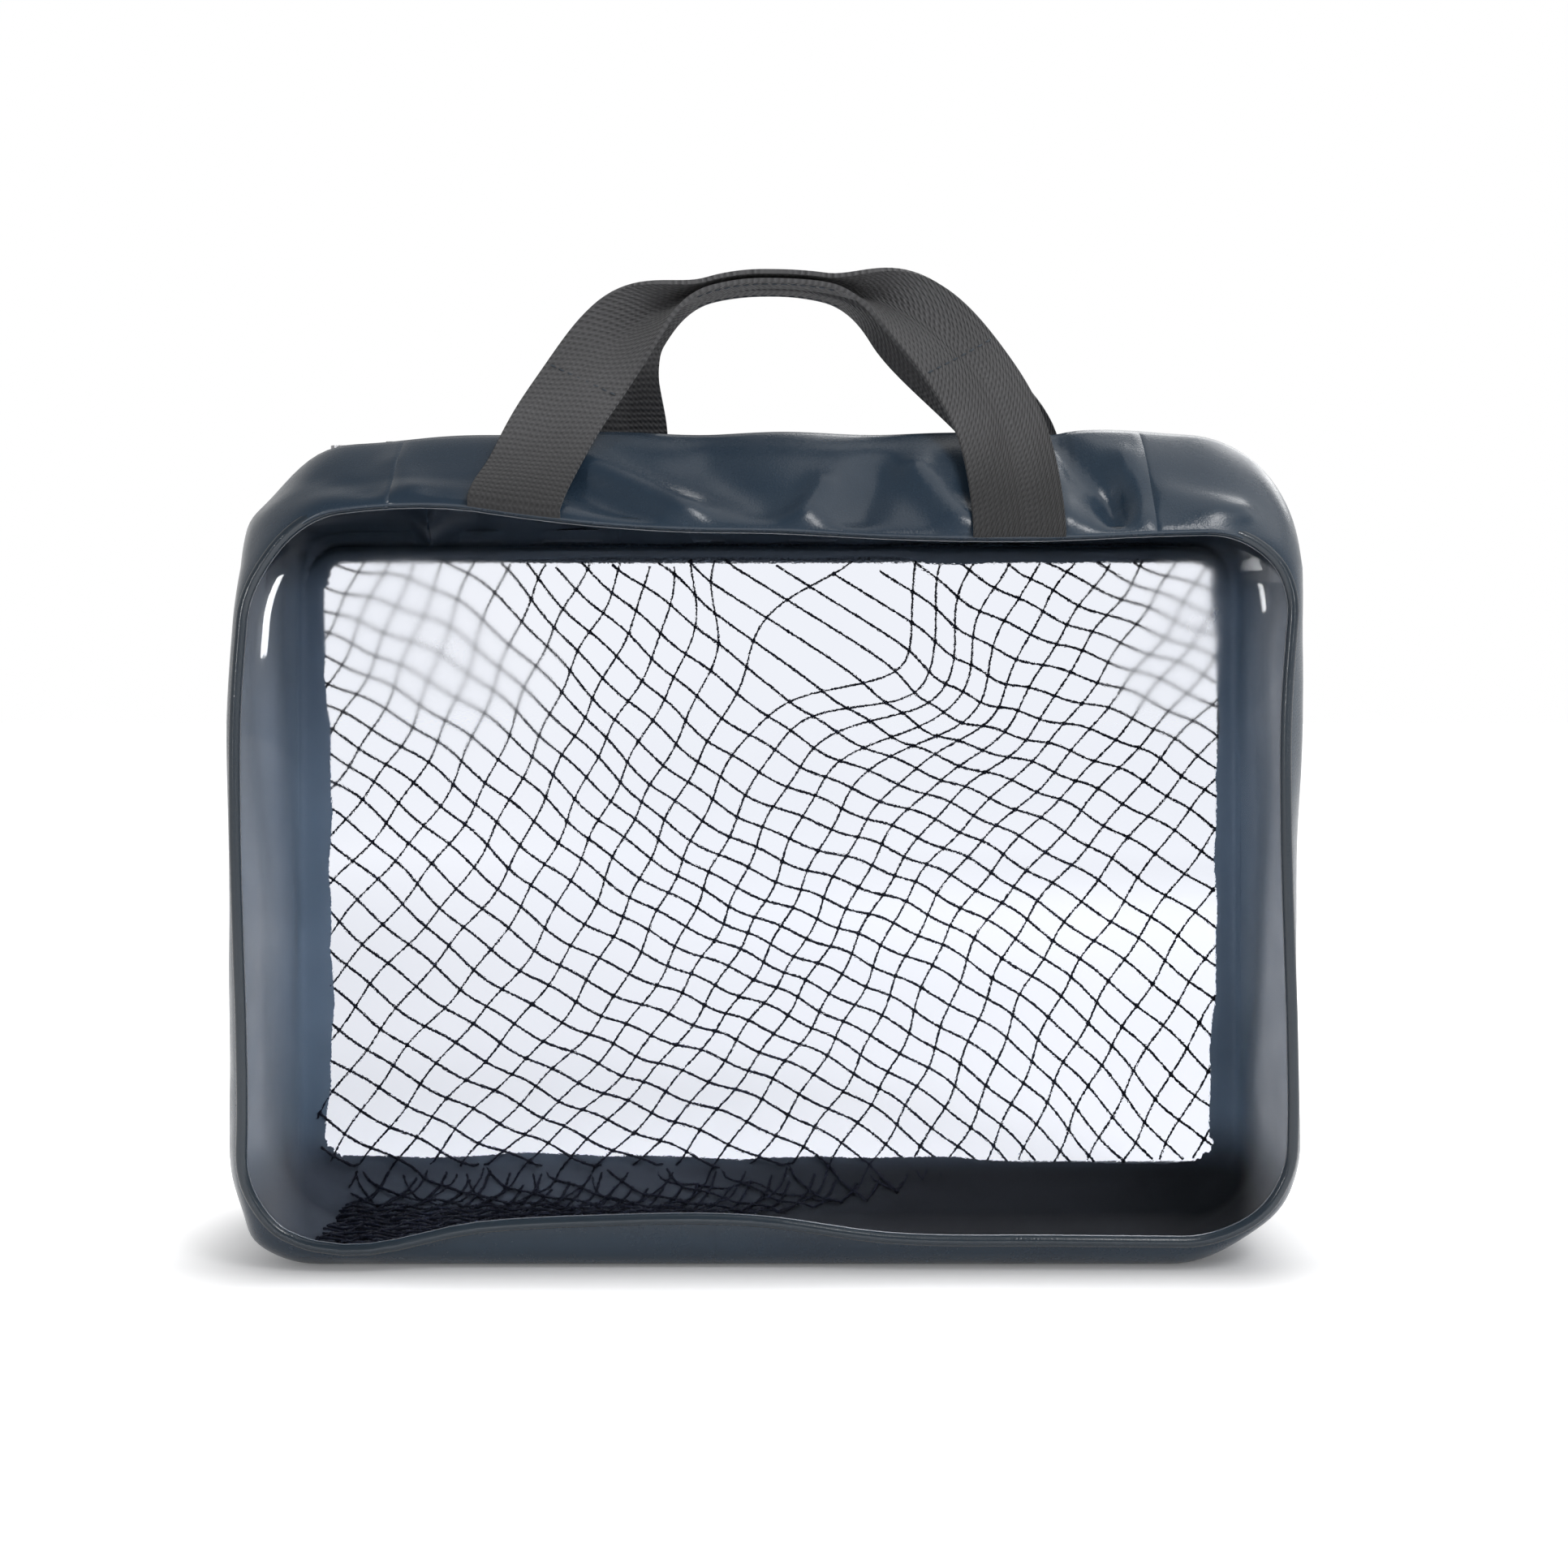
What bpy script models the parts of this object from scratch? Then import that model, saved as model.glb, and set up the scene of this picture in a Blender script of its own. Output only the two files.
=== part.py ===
"""Shoe bag: clear front, net back, zipped domed top and two webbing handles.

Metres, +Z up, the front window faces -Y, the bottom rests on z = 0.
"""
import math

import bmesh
import bpy
from mathutils import Matrix, Vector

# Driving dimensions
PANEL_WIDTH = 0.343        # front and back panel, between piping centrelines
PANEL_HEIGHT = 0.232
CORNER_RADIUS = 0.030      # front panel
BACK_CORNER_RADIUS = 0.014 # the net panel is squarer
DEPTH = 0.105              # front seam to back seam
SIDE_BULGE = 0.006
BOTTOM_SAG = 0.012         # the bottom hangs this far below the panels
SHOULDER_RISE = 0.035      # top dome above the seams
VALLEY_DIP = 0.0075        # the dome sinks this much from its shoulders to the zip
SHOULDER_HALF = 0.019
VALLEY_HALF = 0.012
DOME_POWER = 0.75
VINYL = 0.0008
WINDOW_SHEET = 0.0006
PIPING_RADIUS = 0.002
FIT_GAP = 0.0003
BINDING_WIDTH = 0.0045
BINDING_SHEET = 0.001
NET_PITCH = 0.0178
NET_THREAD = 0.0014
NET_TURN = math.radians(-33)
JOIN_X = -0.010            # where the two gussets meet under the bag
JOIN_TAPE_WIDTH = 0.014
JOIN_TAPE_LENGTH = 0.060
WEBBING_WIDTH = 0.030
WEBBING = 0.0015
HANDLE_SPREAD = 0.164      # between the legs of a handle, at the seam
HANDLE_RISE = 0.0865       # seam to fold line of the grip
HANDLE_SHIFT = -0.002      # middle of the legs from the middle of the bag
HANDLE_SQUARENESS = 2.3
HANDLE_MEET = 0.005        # fold line of each grip from the middle of the bag
GRIP_LENGTH = 0.040
FOLD_LENGTH = 0.050        # from flat webbing to folded grip, along x
FOLD_BEND = 0.0024         # webbing taken up by each side of the fold's bend
BACK_HANDLE_SPREAD = 0.150
BACK_HANDLE_RISE = 0.0883
BACK_HANDLE_SHIFT = 0.0195 # the back handle is sewn on off the middle
BACK_HANDLE_LEAN = -0.020  # and leans back over it
LEAN_FROM = 0.35           # shares of the rise between which it leans
LEAN_TO = 0.85
ZIP_PARK = 0.0165          # left of the flaps, where the open slider waits
TAPE = 0.0007
HEM_HALF = 0.0075
TEETH_INNER = 0.0012
TEETH_OUTER = 0.0043
TEETH_HEIGHT = 0.0022
TEETH_PITCH = 0.0031
TOOTH_SPINE = 0.0011       # strip that carries the teeth
TOOTH_TIP = 0.0011
TOOTH_FLANK = 0.0002
STOP_LENGTH = 0.0026
STOP_HEIGHT = 0.0024
STOP_EDGE = 0.0003
RUN_GAP = 0.00035
SLIDER_LENGTH = 0.012
SLIDER_NOSE = 0.0020
SLIDER_TAIL = 0.0008
SLIDER_TAPER = 0.0010
SLIDER_PLATE = 0.001
SLIDER_RIM = 0.0008
BRIDGE_LENGTH = 0.0062
BRIDGE_WIDTH = 0.0024
BRIDGE_BAR = 0.0011
BRIDGE_ROOM = 0.0020
PULL_LENGTH = 0.022
PULL_WIDTH = 0.0076
PULL_BAR = 0.0012

# Levels that follow from them
BOTTOM_Z = BOTTOM_SAG
TOP_Z = BOTTOM_SAG + PANEL_HEIGHT
HALF_DEPTH = DEPTH / 2
GUSSET_HALF = HALF_DEPTH - PIPING_RADIUS - FIT_GAP
FLAP_HALF = PANEL_WIDTH / 2 - CORNER_RADIUS - ZIP_PARK
END_GAP = 0.0006


def dome(y):
    """Share of the dome's height at y."""
    share = min(abs(y) / GUSSET_HALF, 1.0)
    return (1.0 - share * share) ** DOME_POWER


def smooth(t):
    """Ease from 0 to 1."""
    t = min(max(t, 0.0), 1.0)
    return t * t * (3.0 - 2.0 * t)


def top_bulge(y):
    """Height of the top above the seams: a dome with a flat valley for the zip."""
    crown = SHOULDER_RISE * dome(max(abs(y), VALLEY_HALF)) / dome(SHOULDER_HALF)
    sunk = smooth((SHOULDER_HALF - abs(y)) / (SHOULDER_HALF - VALLEY_HALF))
    return crown - VALLEY_DIP * sunk


def wall_bulge(y, flat=0.68):
    """Share of a side or bottom bulge at y: flat, then rounded to the seam."""
    share = min(abs(y) / GUSSET_HALF, 1.0)
    if share <= flat:
        return 1.0
    return math.sqrt(max(0.0, 1.0 - ((share - flat) / (1.0 - flat)) ** 2))


VALLEY_Z = TOP_Z + top_bulge(0.0)
ZIP_Z = VALLEY_Z - VINYL - FIT_GAP - TAPE / 2
SLIDER_HALF = TEETH_OUTER + FIT_GAP + SLIDER_RIM
SLIDER_ROOM = TEETH_HEIGHT / 2 + RUN_GAP
SLIDER_TOP = SLIDER_ROOM + SLIDER_PLATE
SLIDER_X = -(FLAP_HALF + 0.0005) - SLIDER_LENGTH / 2
PULL_Z = ZIP_Z + SLIDER_TOP + BRIDGE_ROOM / 2


def collection(name):
    made = bpy.data.collections.new(name)
    bpy.context.scene.collection.children.link(made)
    return made


def material(name, colour, roughness, metallic=0.0, alpha=1.0):
    made = bpy.data.materials.new(name)
    made.use_nodes = True
    shader = made.node_tree.nodes["Principled BSDF"]
    shader.inputs["Base Color"].default_value = (*colour, 1.0)
    shader.inputs["Roughness"].default_value = roughness
    shader.inputs["Metallic"].default_value = metallic
    shader.inputs["Alpha"].default_value = alpha
    return made


def place(name, data, look, where, cutter=False):
    """Add an object with its material to a collection."""
    made = bpy.data.objects.new(name, data)
    where.objects.link(made)
    if look is not None:
        data.materials.append(look)
    if cutter:
        made.hide_render = True
        made.display_type = "WIRE"
    return made


def sheet(name, rows, columns, point, thickness, look, where, keep=None, inner=True):
    """A grid laid on a surface and thickened to a wall.

    point(i, j) gives the place of each grid point; keep(i, j) says which cells
    stay. The wall grows inward from the surface, or both ways if not inner.
    """
    bm = bmesh.new()
    bmesh.ops.create_grid(bm, x_segments=rows - 1, y_segments=columns - 1, size=1.0)
    spot = {}
    for vert in bm.verts:
        i = round((vert.co.x + 1.0) / 2.0 * (rows - 1))
        j = round((vert.co.y + 1.0) / 2.0 * (columns - 1))
        spot[vert] = (i, j)
    if keep is not None:
        dropped = []
        for face in bm.faces:
            i = min(spot[vert][0] for vert in face.verts)
            j = min(spot[vert][1] for vert in face.verts)
            if not keep(i, j):
                dropped.append(face)
        bmesh.ops.delete(bm, geom=dropped, context="FACES")
    for vert in bm.verts:
        vert.co = point(*spot[vert])
    bm.normal_update()
    middle = Vector((0.0, 0.0, TOP_Z / 2))
    facing = sum((f.calc_center_median() - middle).dot(f.normal) * f.calc_area() for f in bm.faces)
    if facing < 0.0:
        bmesh.ops.reverse_faces(bm, faces=bm.faces[:])
    mesh = bpy.data.meshes.new(name)
    bm.to_mesh(mesh)
    bm.free()
    made = place(name, mesh, look, where)
    wall = made.modifiers.new("wall", "SOLIDIFY")
    wall.thickness = thickness
    wall.offset = -1.0 if inner else 0.0
    wall.use_even_offset = True
    return made


def corner_radius(y):
    """Radius of the bag's corners at y: the front's as far as the zip, then closing to the back's."""
    return CORNER_RADIUS + (BACK_CORNER_RADIUS - CORNER_RADIUS) * smooth(y / GUSSET_HALF)


def rounded(width, height, radius, low, steps=8):
    """Rounded rectangle in x and z, centred on x = 0 and standing on low."""
    points = []
    for turn in range(4):
        cx = (width / 2 - radius) * (1, -1, -1, 1)[turn]
        cz = low + height / 2 + (height / 2 - radius) * (1, 1, -1, -1)[turn]
        for k in range(steps + 1):
            a = math.pi / 2 * (turn + k / steps)
            points.append((cx + radius * math.cos(a), cz + radius * math.sin(a)))
    return points


def panel_outline(y, inset, steps=8):
    """The outline of the panel at y, moved inward from the piping centreline."""
    return rounded(PANEL_WIDTH - 2 * inset, PANEL_HEIGHT - 2 * inset,
                   corner_radius(y) - inset, BOTTOM_Z + inset, steps)


def curve_data(name, loops, solid=True):
    made = bpy.data.curves.new(name, "CURVE")
    made.dimensions = "2D" if solid else "3D"
    made.fill_mode = "BOTH" if solid else "FULL"
    for loop in loops:
        spline = made.splines.new("POLY")
        spline.points.add(len(loop) - 1)
        for spot, (a, b) in zip(spline.points, loop):
            spot.co = (a, b, 0.0, 1.0)
        spline.use_cyclic_u = True
    return made


def upright(made, y):
    """Stand a flat curve up in the x-z plane at y."""
    made.rotation_euler = (math.pi / 2, 0.0, 0.0)
    made.location = (0.0, y, 0.0)


def plate(name, loops, thickness, look, where):
    """Outlines filled and extruded both ways."""
    data = curve_data(name, loops)
    data.extrude = thickness / 2
    return place(name, data, look, where)


def piping(name, y, look, where):
    data = curve_data(name, [panel_outline(y, 0.0, 9)], solid=False)
    data.bevel_depth = PIPING_RADIUS
    data.bevel_resolution = 2
    made = place(name, data, look, where)
    upright(made, y)
    return made


def net(name, y, look, where):
    """A turned square grid, cut to the panel's outline, its edges made threads."""
    edge = PIPING_RADIUS + FIT_GAP + NET_THREAD / 2 + 0.0004
    half = math.hypot(PANEL_WIDTH, PANEL_HEIGHT) / 2
    cells = 2 * math.ceil(half / NET_PITCH)
    bm = bmesh.new()
    bmesh.ops.create_grid(bm, x_segments=cells, y_segments=cells, size=cells * NET_PITCH / 2)
    bmesh.ops.rotate(bm, verts=bm.verts[:], cent=(0.0, 0.0, 0.0), matrix=Matrix.Rotation(NET_TURN, 3, "Z"))
    bmesh.ops.translate(bm, verts=bm.verts[:], vec=(0.0, BOTTOM_Z + PANEL_HEIGHT / 2, 0.0))
    outline = [Vector((x, z, 0.0)) for x, z in panel_outline(y, edge, 3)]
    for k, start in enumerate(outline):
        along = outline[(k + 1) % len(outline)] - start
        if along.length < 1e-6:
            continue
        out = Vector((along.y, -along.x, 0.0)).normalized()
        bmesh.ops.bisect_plane(bm, geom=bm.verts[:] + bm.edges[:] + bm.faces[:], dist=1e-6,
                               plane_co=start, plane_no=out, clear_outer=True)
    for _ in range(2):
        short = [e for e in bm.edges if e.calc_length() < 3.2 * NET_THREAD]
        bmesh.ops.collapse(bm, edges=short, uvs=False)
    slim = [f for f in bm.faces if f.calc_area() < 0.06 * NET_PITCH ** 2]
    inside = {e for f in slim for e in f.edges if not e.is_boundary}
    bmesh.ops.dissolve_edges(bm, edges=list(inside), use_verts=False)
    mesh = bpy.data.meshes.new(name)
    bm.to_mesh(mesh)
    bm.free()
    made = place(name, mesh, look, where)
    threads = made.modifiers.new("threads", "WIREFRAME")
    threads.thickness = NET_THREAD
    threads.use_boundary = True
    threads.use_even_offset = False
    threads.use_replace = True
    upright(made, y)
    return made


def half_outline(side, y):
    """Stations along half of the bag's outline at y, from the zip's end to the bottom join.

    Each is x, z, the outward direction in x and z, and the shares of the top
    and bottom bulge there.
    """
    radius = corner_radius(y)
    straight = PANEL_WIDTH / 2 - radius
    zip_end = FLAP_HALF + END_GAP
    join = side * JOIN_X + FIT_GAP / 2
    stations = []
    for k in range(3):
        stations.append((zip_end + (straight - zip_end) * k / 3, TOP_Z, 0.0, 1.0, 1.0, 0.0))
    for k in range(10):
        a = math.pi / 2 * k / 9
        s, c = math.sin(a), math.cos(a)
        z = TOP_Z - radius + radius * c
        stations.append((straight + radius * s, z, s, c, smooth(1.0 - k / 9), 0.0))
    for k in range(1, 4):
        z = TOP_Z - radius - (PANEL_HEIGHT - 2 * radius) * k / 4
        stations.append((PANEL_WIDTH / 2, z, 1.0, 0.0, 0.0, 0.0))
    for k in range(9):
        a = math.pi / 2 * k / 8
        s, c = math.sin(a), math.cos(a)
        stations.append((straight + radius * c, BOTTOM_Z + radius - radius * s, c, -s, 0.0, smooth(k / 8)))
    for k in range(1, 3):
        stations.append((straight + (join - straight) * k / 2, BOTTOM_Z, 0.0, -1.0, 0.0, 1.0))
    return stations


def across(steps=6):
    """Stations from the middle of a gusset to its seam, close together at the curves."""
    middle = (SHOULDER_HALF + VALLEY_HALF) / 2
    half = [0.0, HEM_HALF, VALLEY_HALF, middle, SHOULDER_HALF]
    for k in range(1, steps + 1):
        half.append(SHOULDER_HALF + (GUSSET_HALF - SHOULDER_HALF) * math.sin(math.pi / 2 * k / steps))
    return half


def gusset_point(side, station, y, lift=0.0):
    """A point on the outside of a gusset, lifted outward."""
    x, z, nx, nz, top, bottom = half_outline(side, y)[station]
    wall = (bottom * BOTTOM_SAG + (1.0 - top - bottom) * SIDE_BULGE) * wall_bulge(y)
    out = top * top_bulge(y) + wall + lift
    return Vector((side * (x + nx * out), y, z + nz * out))


def gusset(name, side, notched, look, where):
    stations = len(half_outline(side, 0.0))
    half = across()
    ys = [-y for y in reversed(half[1:])] + half[1:]
    middle = len(half) - 2

    def keep(i, j):
        return not (notched and i < 3 and j == middle)

    def point(i, j):
        return gusset_point(side, i, ys[j])

    return sheet(name, stations, len(ys), point, VINYL, look, where, keep)


def flap(name, face, look, where):
    """Half of the top: from its seam over the shoulder to the hem beside the zip."""
    ys = across()[1:]
    xs = [FLAP_HALF * k for k in (-1.0, -0.5, 0.0, 0.5, 1.0)]

    def point(i, j):
        return Vector((xs[i], face * ys[j], TOP_Z + top_bulge(ys[j])))

    return sheet(name, len(xs), len(ys), point, VINYL, look, where)


def box(name, low, high, look, where, bevel=0.0, cutter=False):
    bm = bmesh.new()
    bmesh.ops.create_cube(bm, size=1.0)
    for vert in bm.verts:
        vert.co = Vector(low[k] + (high[k] - low[k]) * (vert.co[k] + 0.5) for k in range(3))
    mesh = bpy.data.meshes.new(name)
    bm.to_mesh(mesh)
    bm.free()
    made = place(name, mesh, look, where, cutter)
    if bevel:
        edge = made.modifiers.new("edge", "BEVEL")
        edge.width = bevel
        edge.segments = 2
    return made


def zip_tape(name, face, look, where):
    inner, outer = TEETH_OUTER + FIT_GAP, VALLEY_HALF
    low, high = sorted((face * inner, face * outer))
    return box(name, (-FLAP_HALF, low, ZIP_Z - TAPE / 2), (FLAP_HALF, high, ZIP_Z + TAPE / 2), look, where)


def zip_teeth(name, face, look, where):
    """A comb: a spine along the tape with a tooth at each pitch."""
    start = -FLAP_HALF + 0.0012
    count = int((2 * FLAP_HALF - 0.0050) / TEETH_PITCH)
    spine = TEETH_OUTER - TOOTH_SPINE
    loop = [(start, face * TEETH_OUTER), (start, face * spine)]
    for k in range(count):
        middle = start + TEETH_PITCH * (k + 0.5)
        tip, root = TOOTH_TIP / 2, TOOTH_TIP / 2 + TOOTH_FLANK
        loop += [(middle - root, face * spine), (middle - tip, face * TEETH_INNER),
                 (middle + tip, face * TEETH_INNER), (middle + root, face * spine)]
    loop += [(start + TEETH_PITCH * count, face * spine), (start + TEETH_PITCH * count, face * TEETH_OUTER)]
    made = plate(name, [loop], TEETH_HEIGHT, look, where)
    made.location = (0.0, 0.0, ZIP_Z)
    return made


def top_stop(name, face, look, where):
    low, high = sorted((face * TEETH_INNER, face * TEETH_OUTER))
    end = FLAP_HALF - END_GAP
    return box(name, (end - STOP_LENGTH, low, ZIP_Z - STOP_HEIGHT / 2), (end, high, ZIP_Z + STOP_HEIGHT / 2),
               look, where, bevel=STOP_EDGE)


def tail_tape(name, side, look, where):
    """Tape under the gusset's end, with a slit for the last closed teeth."""
    lift = -(VINYL + FIT_GAP)
    slit = TEETH_OUTER + FIT_GAP
    ys = [-VALLEY_HALF, -slit, slit, VALLEY_HALF]

    def point(i, j):
        return gusset_point(side, i, ys[j], lift)

    def keep(i, j):
        return not (i < 3 and j == 1)

    return sheet(name, 5, len(ys), point, TAPE, look, where, keep)


def end_tab(name, side, look, where):
    """Vinyl patch over the end of the zip, lying on the gusset."""
    first = 3
    ys = [-VALLEY_HALF, -VALLEY_HALF / 2, VALLEY_HALF / 2, VALLEY_HALF]

    def point(i, j):
        return gusset_point(side, first + i, ys[j], VINYL + FIT_GAP)

    return sheet(name, 3, len(ys), point, VINYL, look, where)


def handle_section(point, outward, ahead, close):
    """Places across the webbing: its halves close on each other like a book.

    outward lies in the plane of the arch, ahead points away from the bag, and
    close runs from 0, flat, to a quarter turn of each half.
    """
    bend = max(close, 1e-4) / FOLD_BEND
    outer, inner = [], []
    for spots, way in ((outer, outward), (inner, -outward)):
        for k in (0.5, 1.0):
            turned = bend * FOLD_BEND * k
            spots.append(point + way * (math.sin(turned) / bend) + ahead * ((1 - math.cos(turned)) / bend))
        end = way * math.cos(close) + ahead * math.sin(close)
        spots.append(spots[-1] + end * (WEBBING_WIDTH / 2 - FOLD_BEND))
    return outer[::-1] + [point] + inner


def handle(name, face, spread, rise, shift, lean, look, where):
    """Webbing from seam to seam in an arch, folded in half along the grip."""
    reach = (PIPING_RADIUS + WEBBING / 2 + RUN_GAP) * math.sqrt(0.5)
    foot = Vector((shift, face * (HALF_DEPTH + reach), TOP_Z + reach))
    slope = Vector((0.0, face * HANDLE_MEET - foot.y, rise))
    front = Vector((1.0, 0.0, 0.0)).cross(slope).normalized() * (-face)
    level = Vector((0.0, face, 0.0))
    rows = 41

    def reach_x(a):
        c = math.cos(a)
        return -spread / 2 * math.copysign(abs(c) ** (2 / HANDLE_SQUARENESS), c)

    def arch(a):
        height = max(math.sin(a), 0.0) ** (2 / HANDLE_SQUARENESS)
        aside = reach_x(a) + lean * smooth((height - LEAN_FROM) / (LEAN_TO - LEAN_FROM))
        return foot + Vector((aside, 0.0, 0.0)) + slope * height

    sections = []
    for i in range(rows):
        a = math.pi * i / (rows - 1)
        point = arch(a)
        if i in (0, rows - 1):
            along = slope.normalized() * (1 if i == 0 else -1)
        else:
            along = (arch(a + 1e-3) - arch(a - 1e-3)).normalized()
        turn = smooth((GRIP_LENGTH / 2 + FOLD_LENGTH - abs(reach_x(a))) / FOLD_LENGTH)
        ahead = front.lerp(level, turn).normalized()
        outward = ahead.cross(along).normalized() * (-face)
        sections.append(handle_section(point, outward, ahead, math.pi / 2 * turn))

    def spot(i, j):
        return sections[i][j]

    return sheet(name, rows, len(sections[0]), spot, WEBBING, look, where, inner=False)


def slider(name, look, where, cutters):
    """Two plates joined by a divider, rims that hold the tapes, and a bridge for the pull."""
    front, back = SLIDER_X + SLIDER_LENGTH / 2, SLIDER_X - SLIDER_LENGTH / 2
    waist = SLIDER_HALF - SLIDER_TAPER
    half = [(front, SLIDER_HALF - SLIDER_NOSE), (front - SLIDER_NOSE, SLIDER_HALF), (SLIDER_X, SLIDER_HALF),
            (back + SLIDER_TAIL, waist), (back, waist - SLIDER_TAIL)]
    loop = half + [(x, -y) for x, y in reversed(half)]
    made = plate(name, [loop], 2 * SLIDER_TOP, look, where)
    made.location = (0.0, 0.0, ZIP_Z)
    room = box("zip_slider_room", (back - 0.002, -TEETH_OUTER - FIT_GAP, ZIP_Z - SLIDER_ROOM),
               (front + 0.002, TEETH_OUTER + FIT_GAP, ZIP_Z + SLIDER_ROOM), None, cutters, cutter=True)
    slot = box("zip_slider_slot", (back - 0.002, -0.01, ZIP_Z - TAPE / 2 - RUN_GAP),
               (front + 0.002, 0.01, ZIP_Z + TAPE / 2 + RUN_GAP), None, cutters, cutter=True)
    post = box("zip_slider_post", (front - 0.0024, -0.0008, ZIP_Z - SLIDER_ROOM - 0.0004),
               (front - 0.0002, 0.0008, ZIP_Z + SLIDER_ROOM + 0.0004), None, cutters, cutter=True)
    reach, tall = BRIDGE_LENGTH / 2, BRIDGE_ROOM + BRIDGE_BAR
    outer = [(-reach, -0.0006), (reach, -0.0006), (reach, tall - 0.0007), (reach - 0.0007, tall),
             (-reach + 0.0007, tall), (-reach, tall - 0.0007)]
    hole = [(-reach + BRIDGE_BAR, 0.0), (reach - BRIDGE_BAR, 0.0), (reach - BRIDGE_BAR, BRIDGE_ROOM),
            (-reach + BRIDGE_BAR, BRIDGE_ROOM)]
    bridge = plate("zip_slider_bridge", [outer, hole], BRIDGE_WIDTH, None, cutters)
    bridge.rotation_euler = (math.pi / 2, 0.0, 0.0)
    bridge.location = (SLIDER_X, 0.0, ZIP_Z + SLIDER_TOP)
    return made, (room, slot), (post, bridge)


def pull(name, look, where):
    """Tab with an eye; the bar at the eye's end passes through the bridge."""
    half, bar = PULL_WIDTH / 2, PULL_BAR / 2
    eye = BRIDGE_WIDTH / 2 + 0.0005
    tip = -PULL_LENGTH
    outer = [(bar, -half + 0.0010), (bar, half - 0.0010), (-0.0012, half), (tip * 0.55, half - 0.0010)]
    for k in range(9):
        a = math.pi / 2 * (1 - k / 4)
        outer.append((tip + half - 0.0012 - (half - 0.0012) * math.cos(a), (half - 0.0012) * math.sin(a)))
    outer += [(tip * 0.55, -half + 0.0010), (-0.0012, -half)]
    inner = [(-bar, -eye), (-bar, eye), (-bar - 0.0038, eye), (-bar - 0.0038, -eye)]
    made = plate(name, [outer, inner], PULL_BAR, look, where)
    made.location = (SLIDER_X, 0.0, PULL_Z)
    return made


def to_mesh(made):
    """Give an object a plain mesh in place of its curve."""
    graph = bpy.context.evaluated_depsgraph_get()
    mesh = bpy.data.meshes.new_from_object(made.evaluated_get(graph))
    name, look = made.name, list(made.data.materials)
    where = made.users_collection[0]
    turn, spot, wire = made.rotation_euler.copy(), made.location.copy(), made.display_type
    bpy.data.objects.remove(made, do_unlink=True)
    plain = bpy.data.objects.new(name, mesh)
    where.objects.link(plain)
    plain.rotation_euler, plain.location, plain.display_type = turn, spot, wire
    mesh.materials.clear()
    for one in look:
        mesh.materials.append(one)
    bm = bmesh.new()
    bm.from_mesh(mesh)
    bmesh.ops.remove_doubles(bm, verts=bm.verts[:], dist=1e-6)
    bmesh.ops.recalc_face_normals(bm, faces=bm.faces[:])
    bm.to_mesh(mesh)
    bm.free()
    return plain


def join(made, kind, other):
    work = made.modifiers.new(other.name, "BOOLEAN")
    work.operation = kind
    work.solver = "EXACT"
    work.object = other


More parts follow.
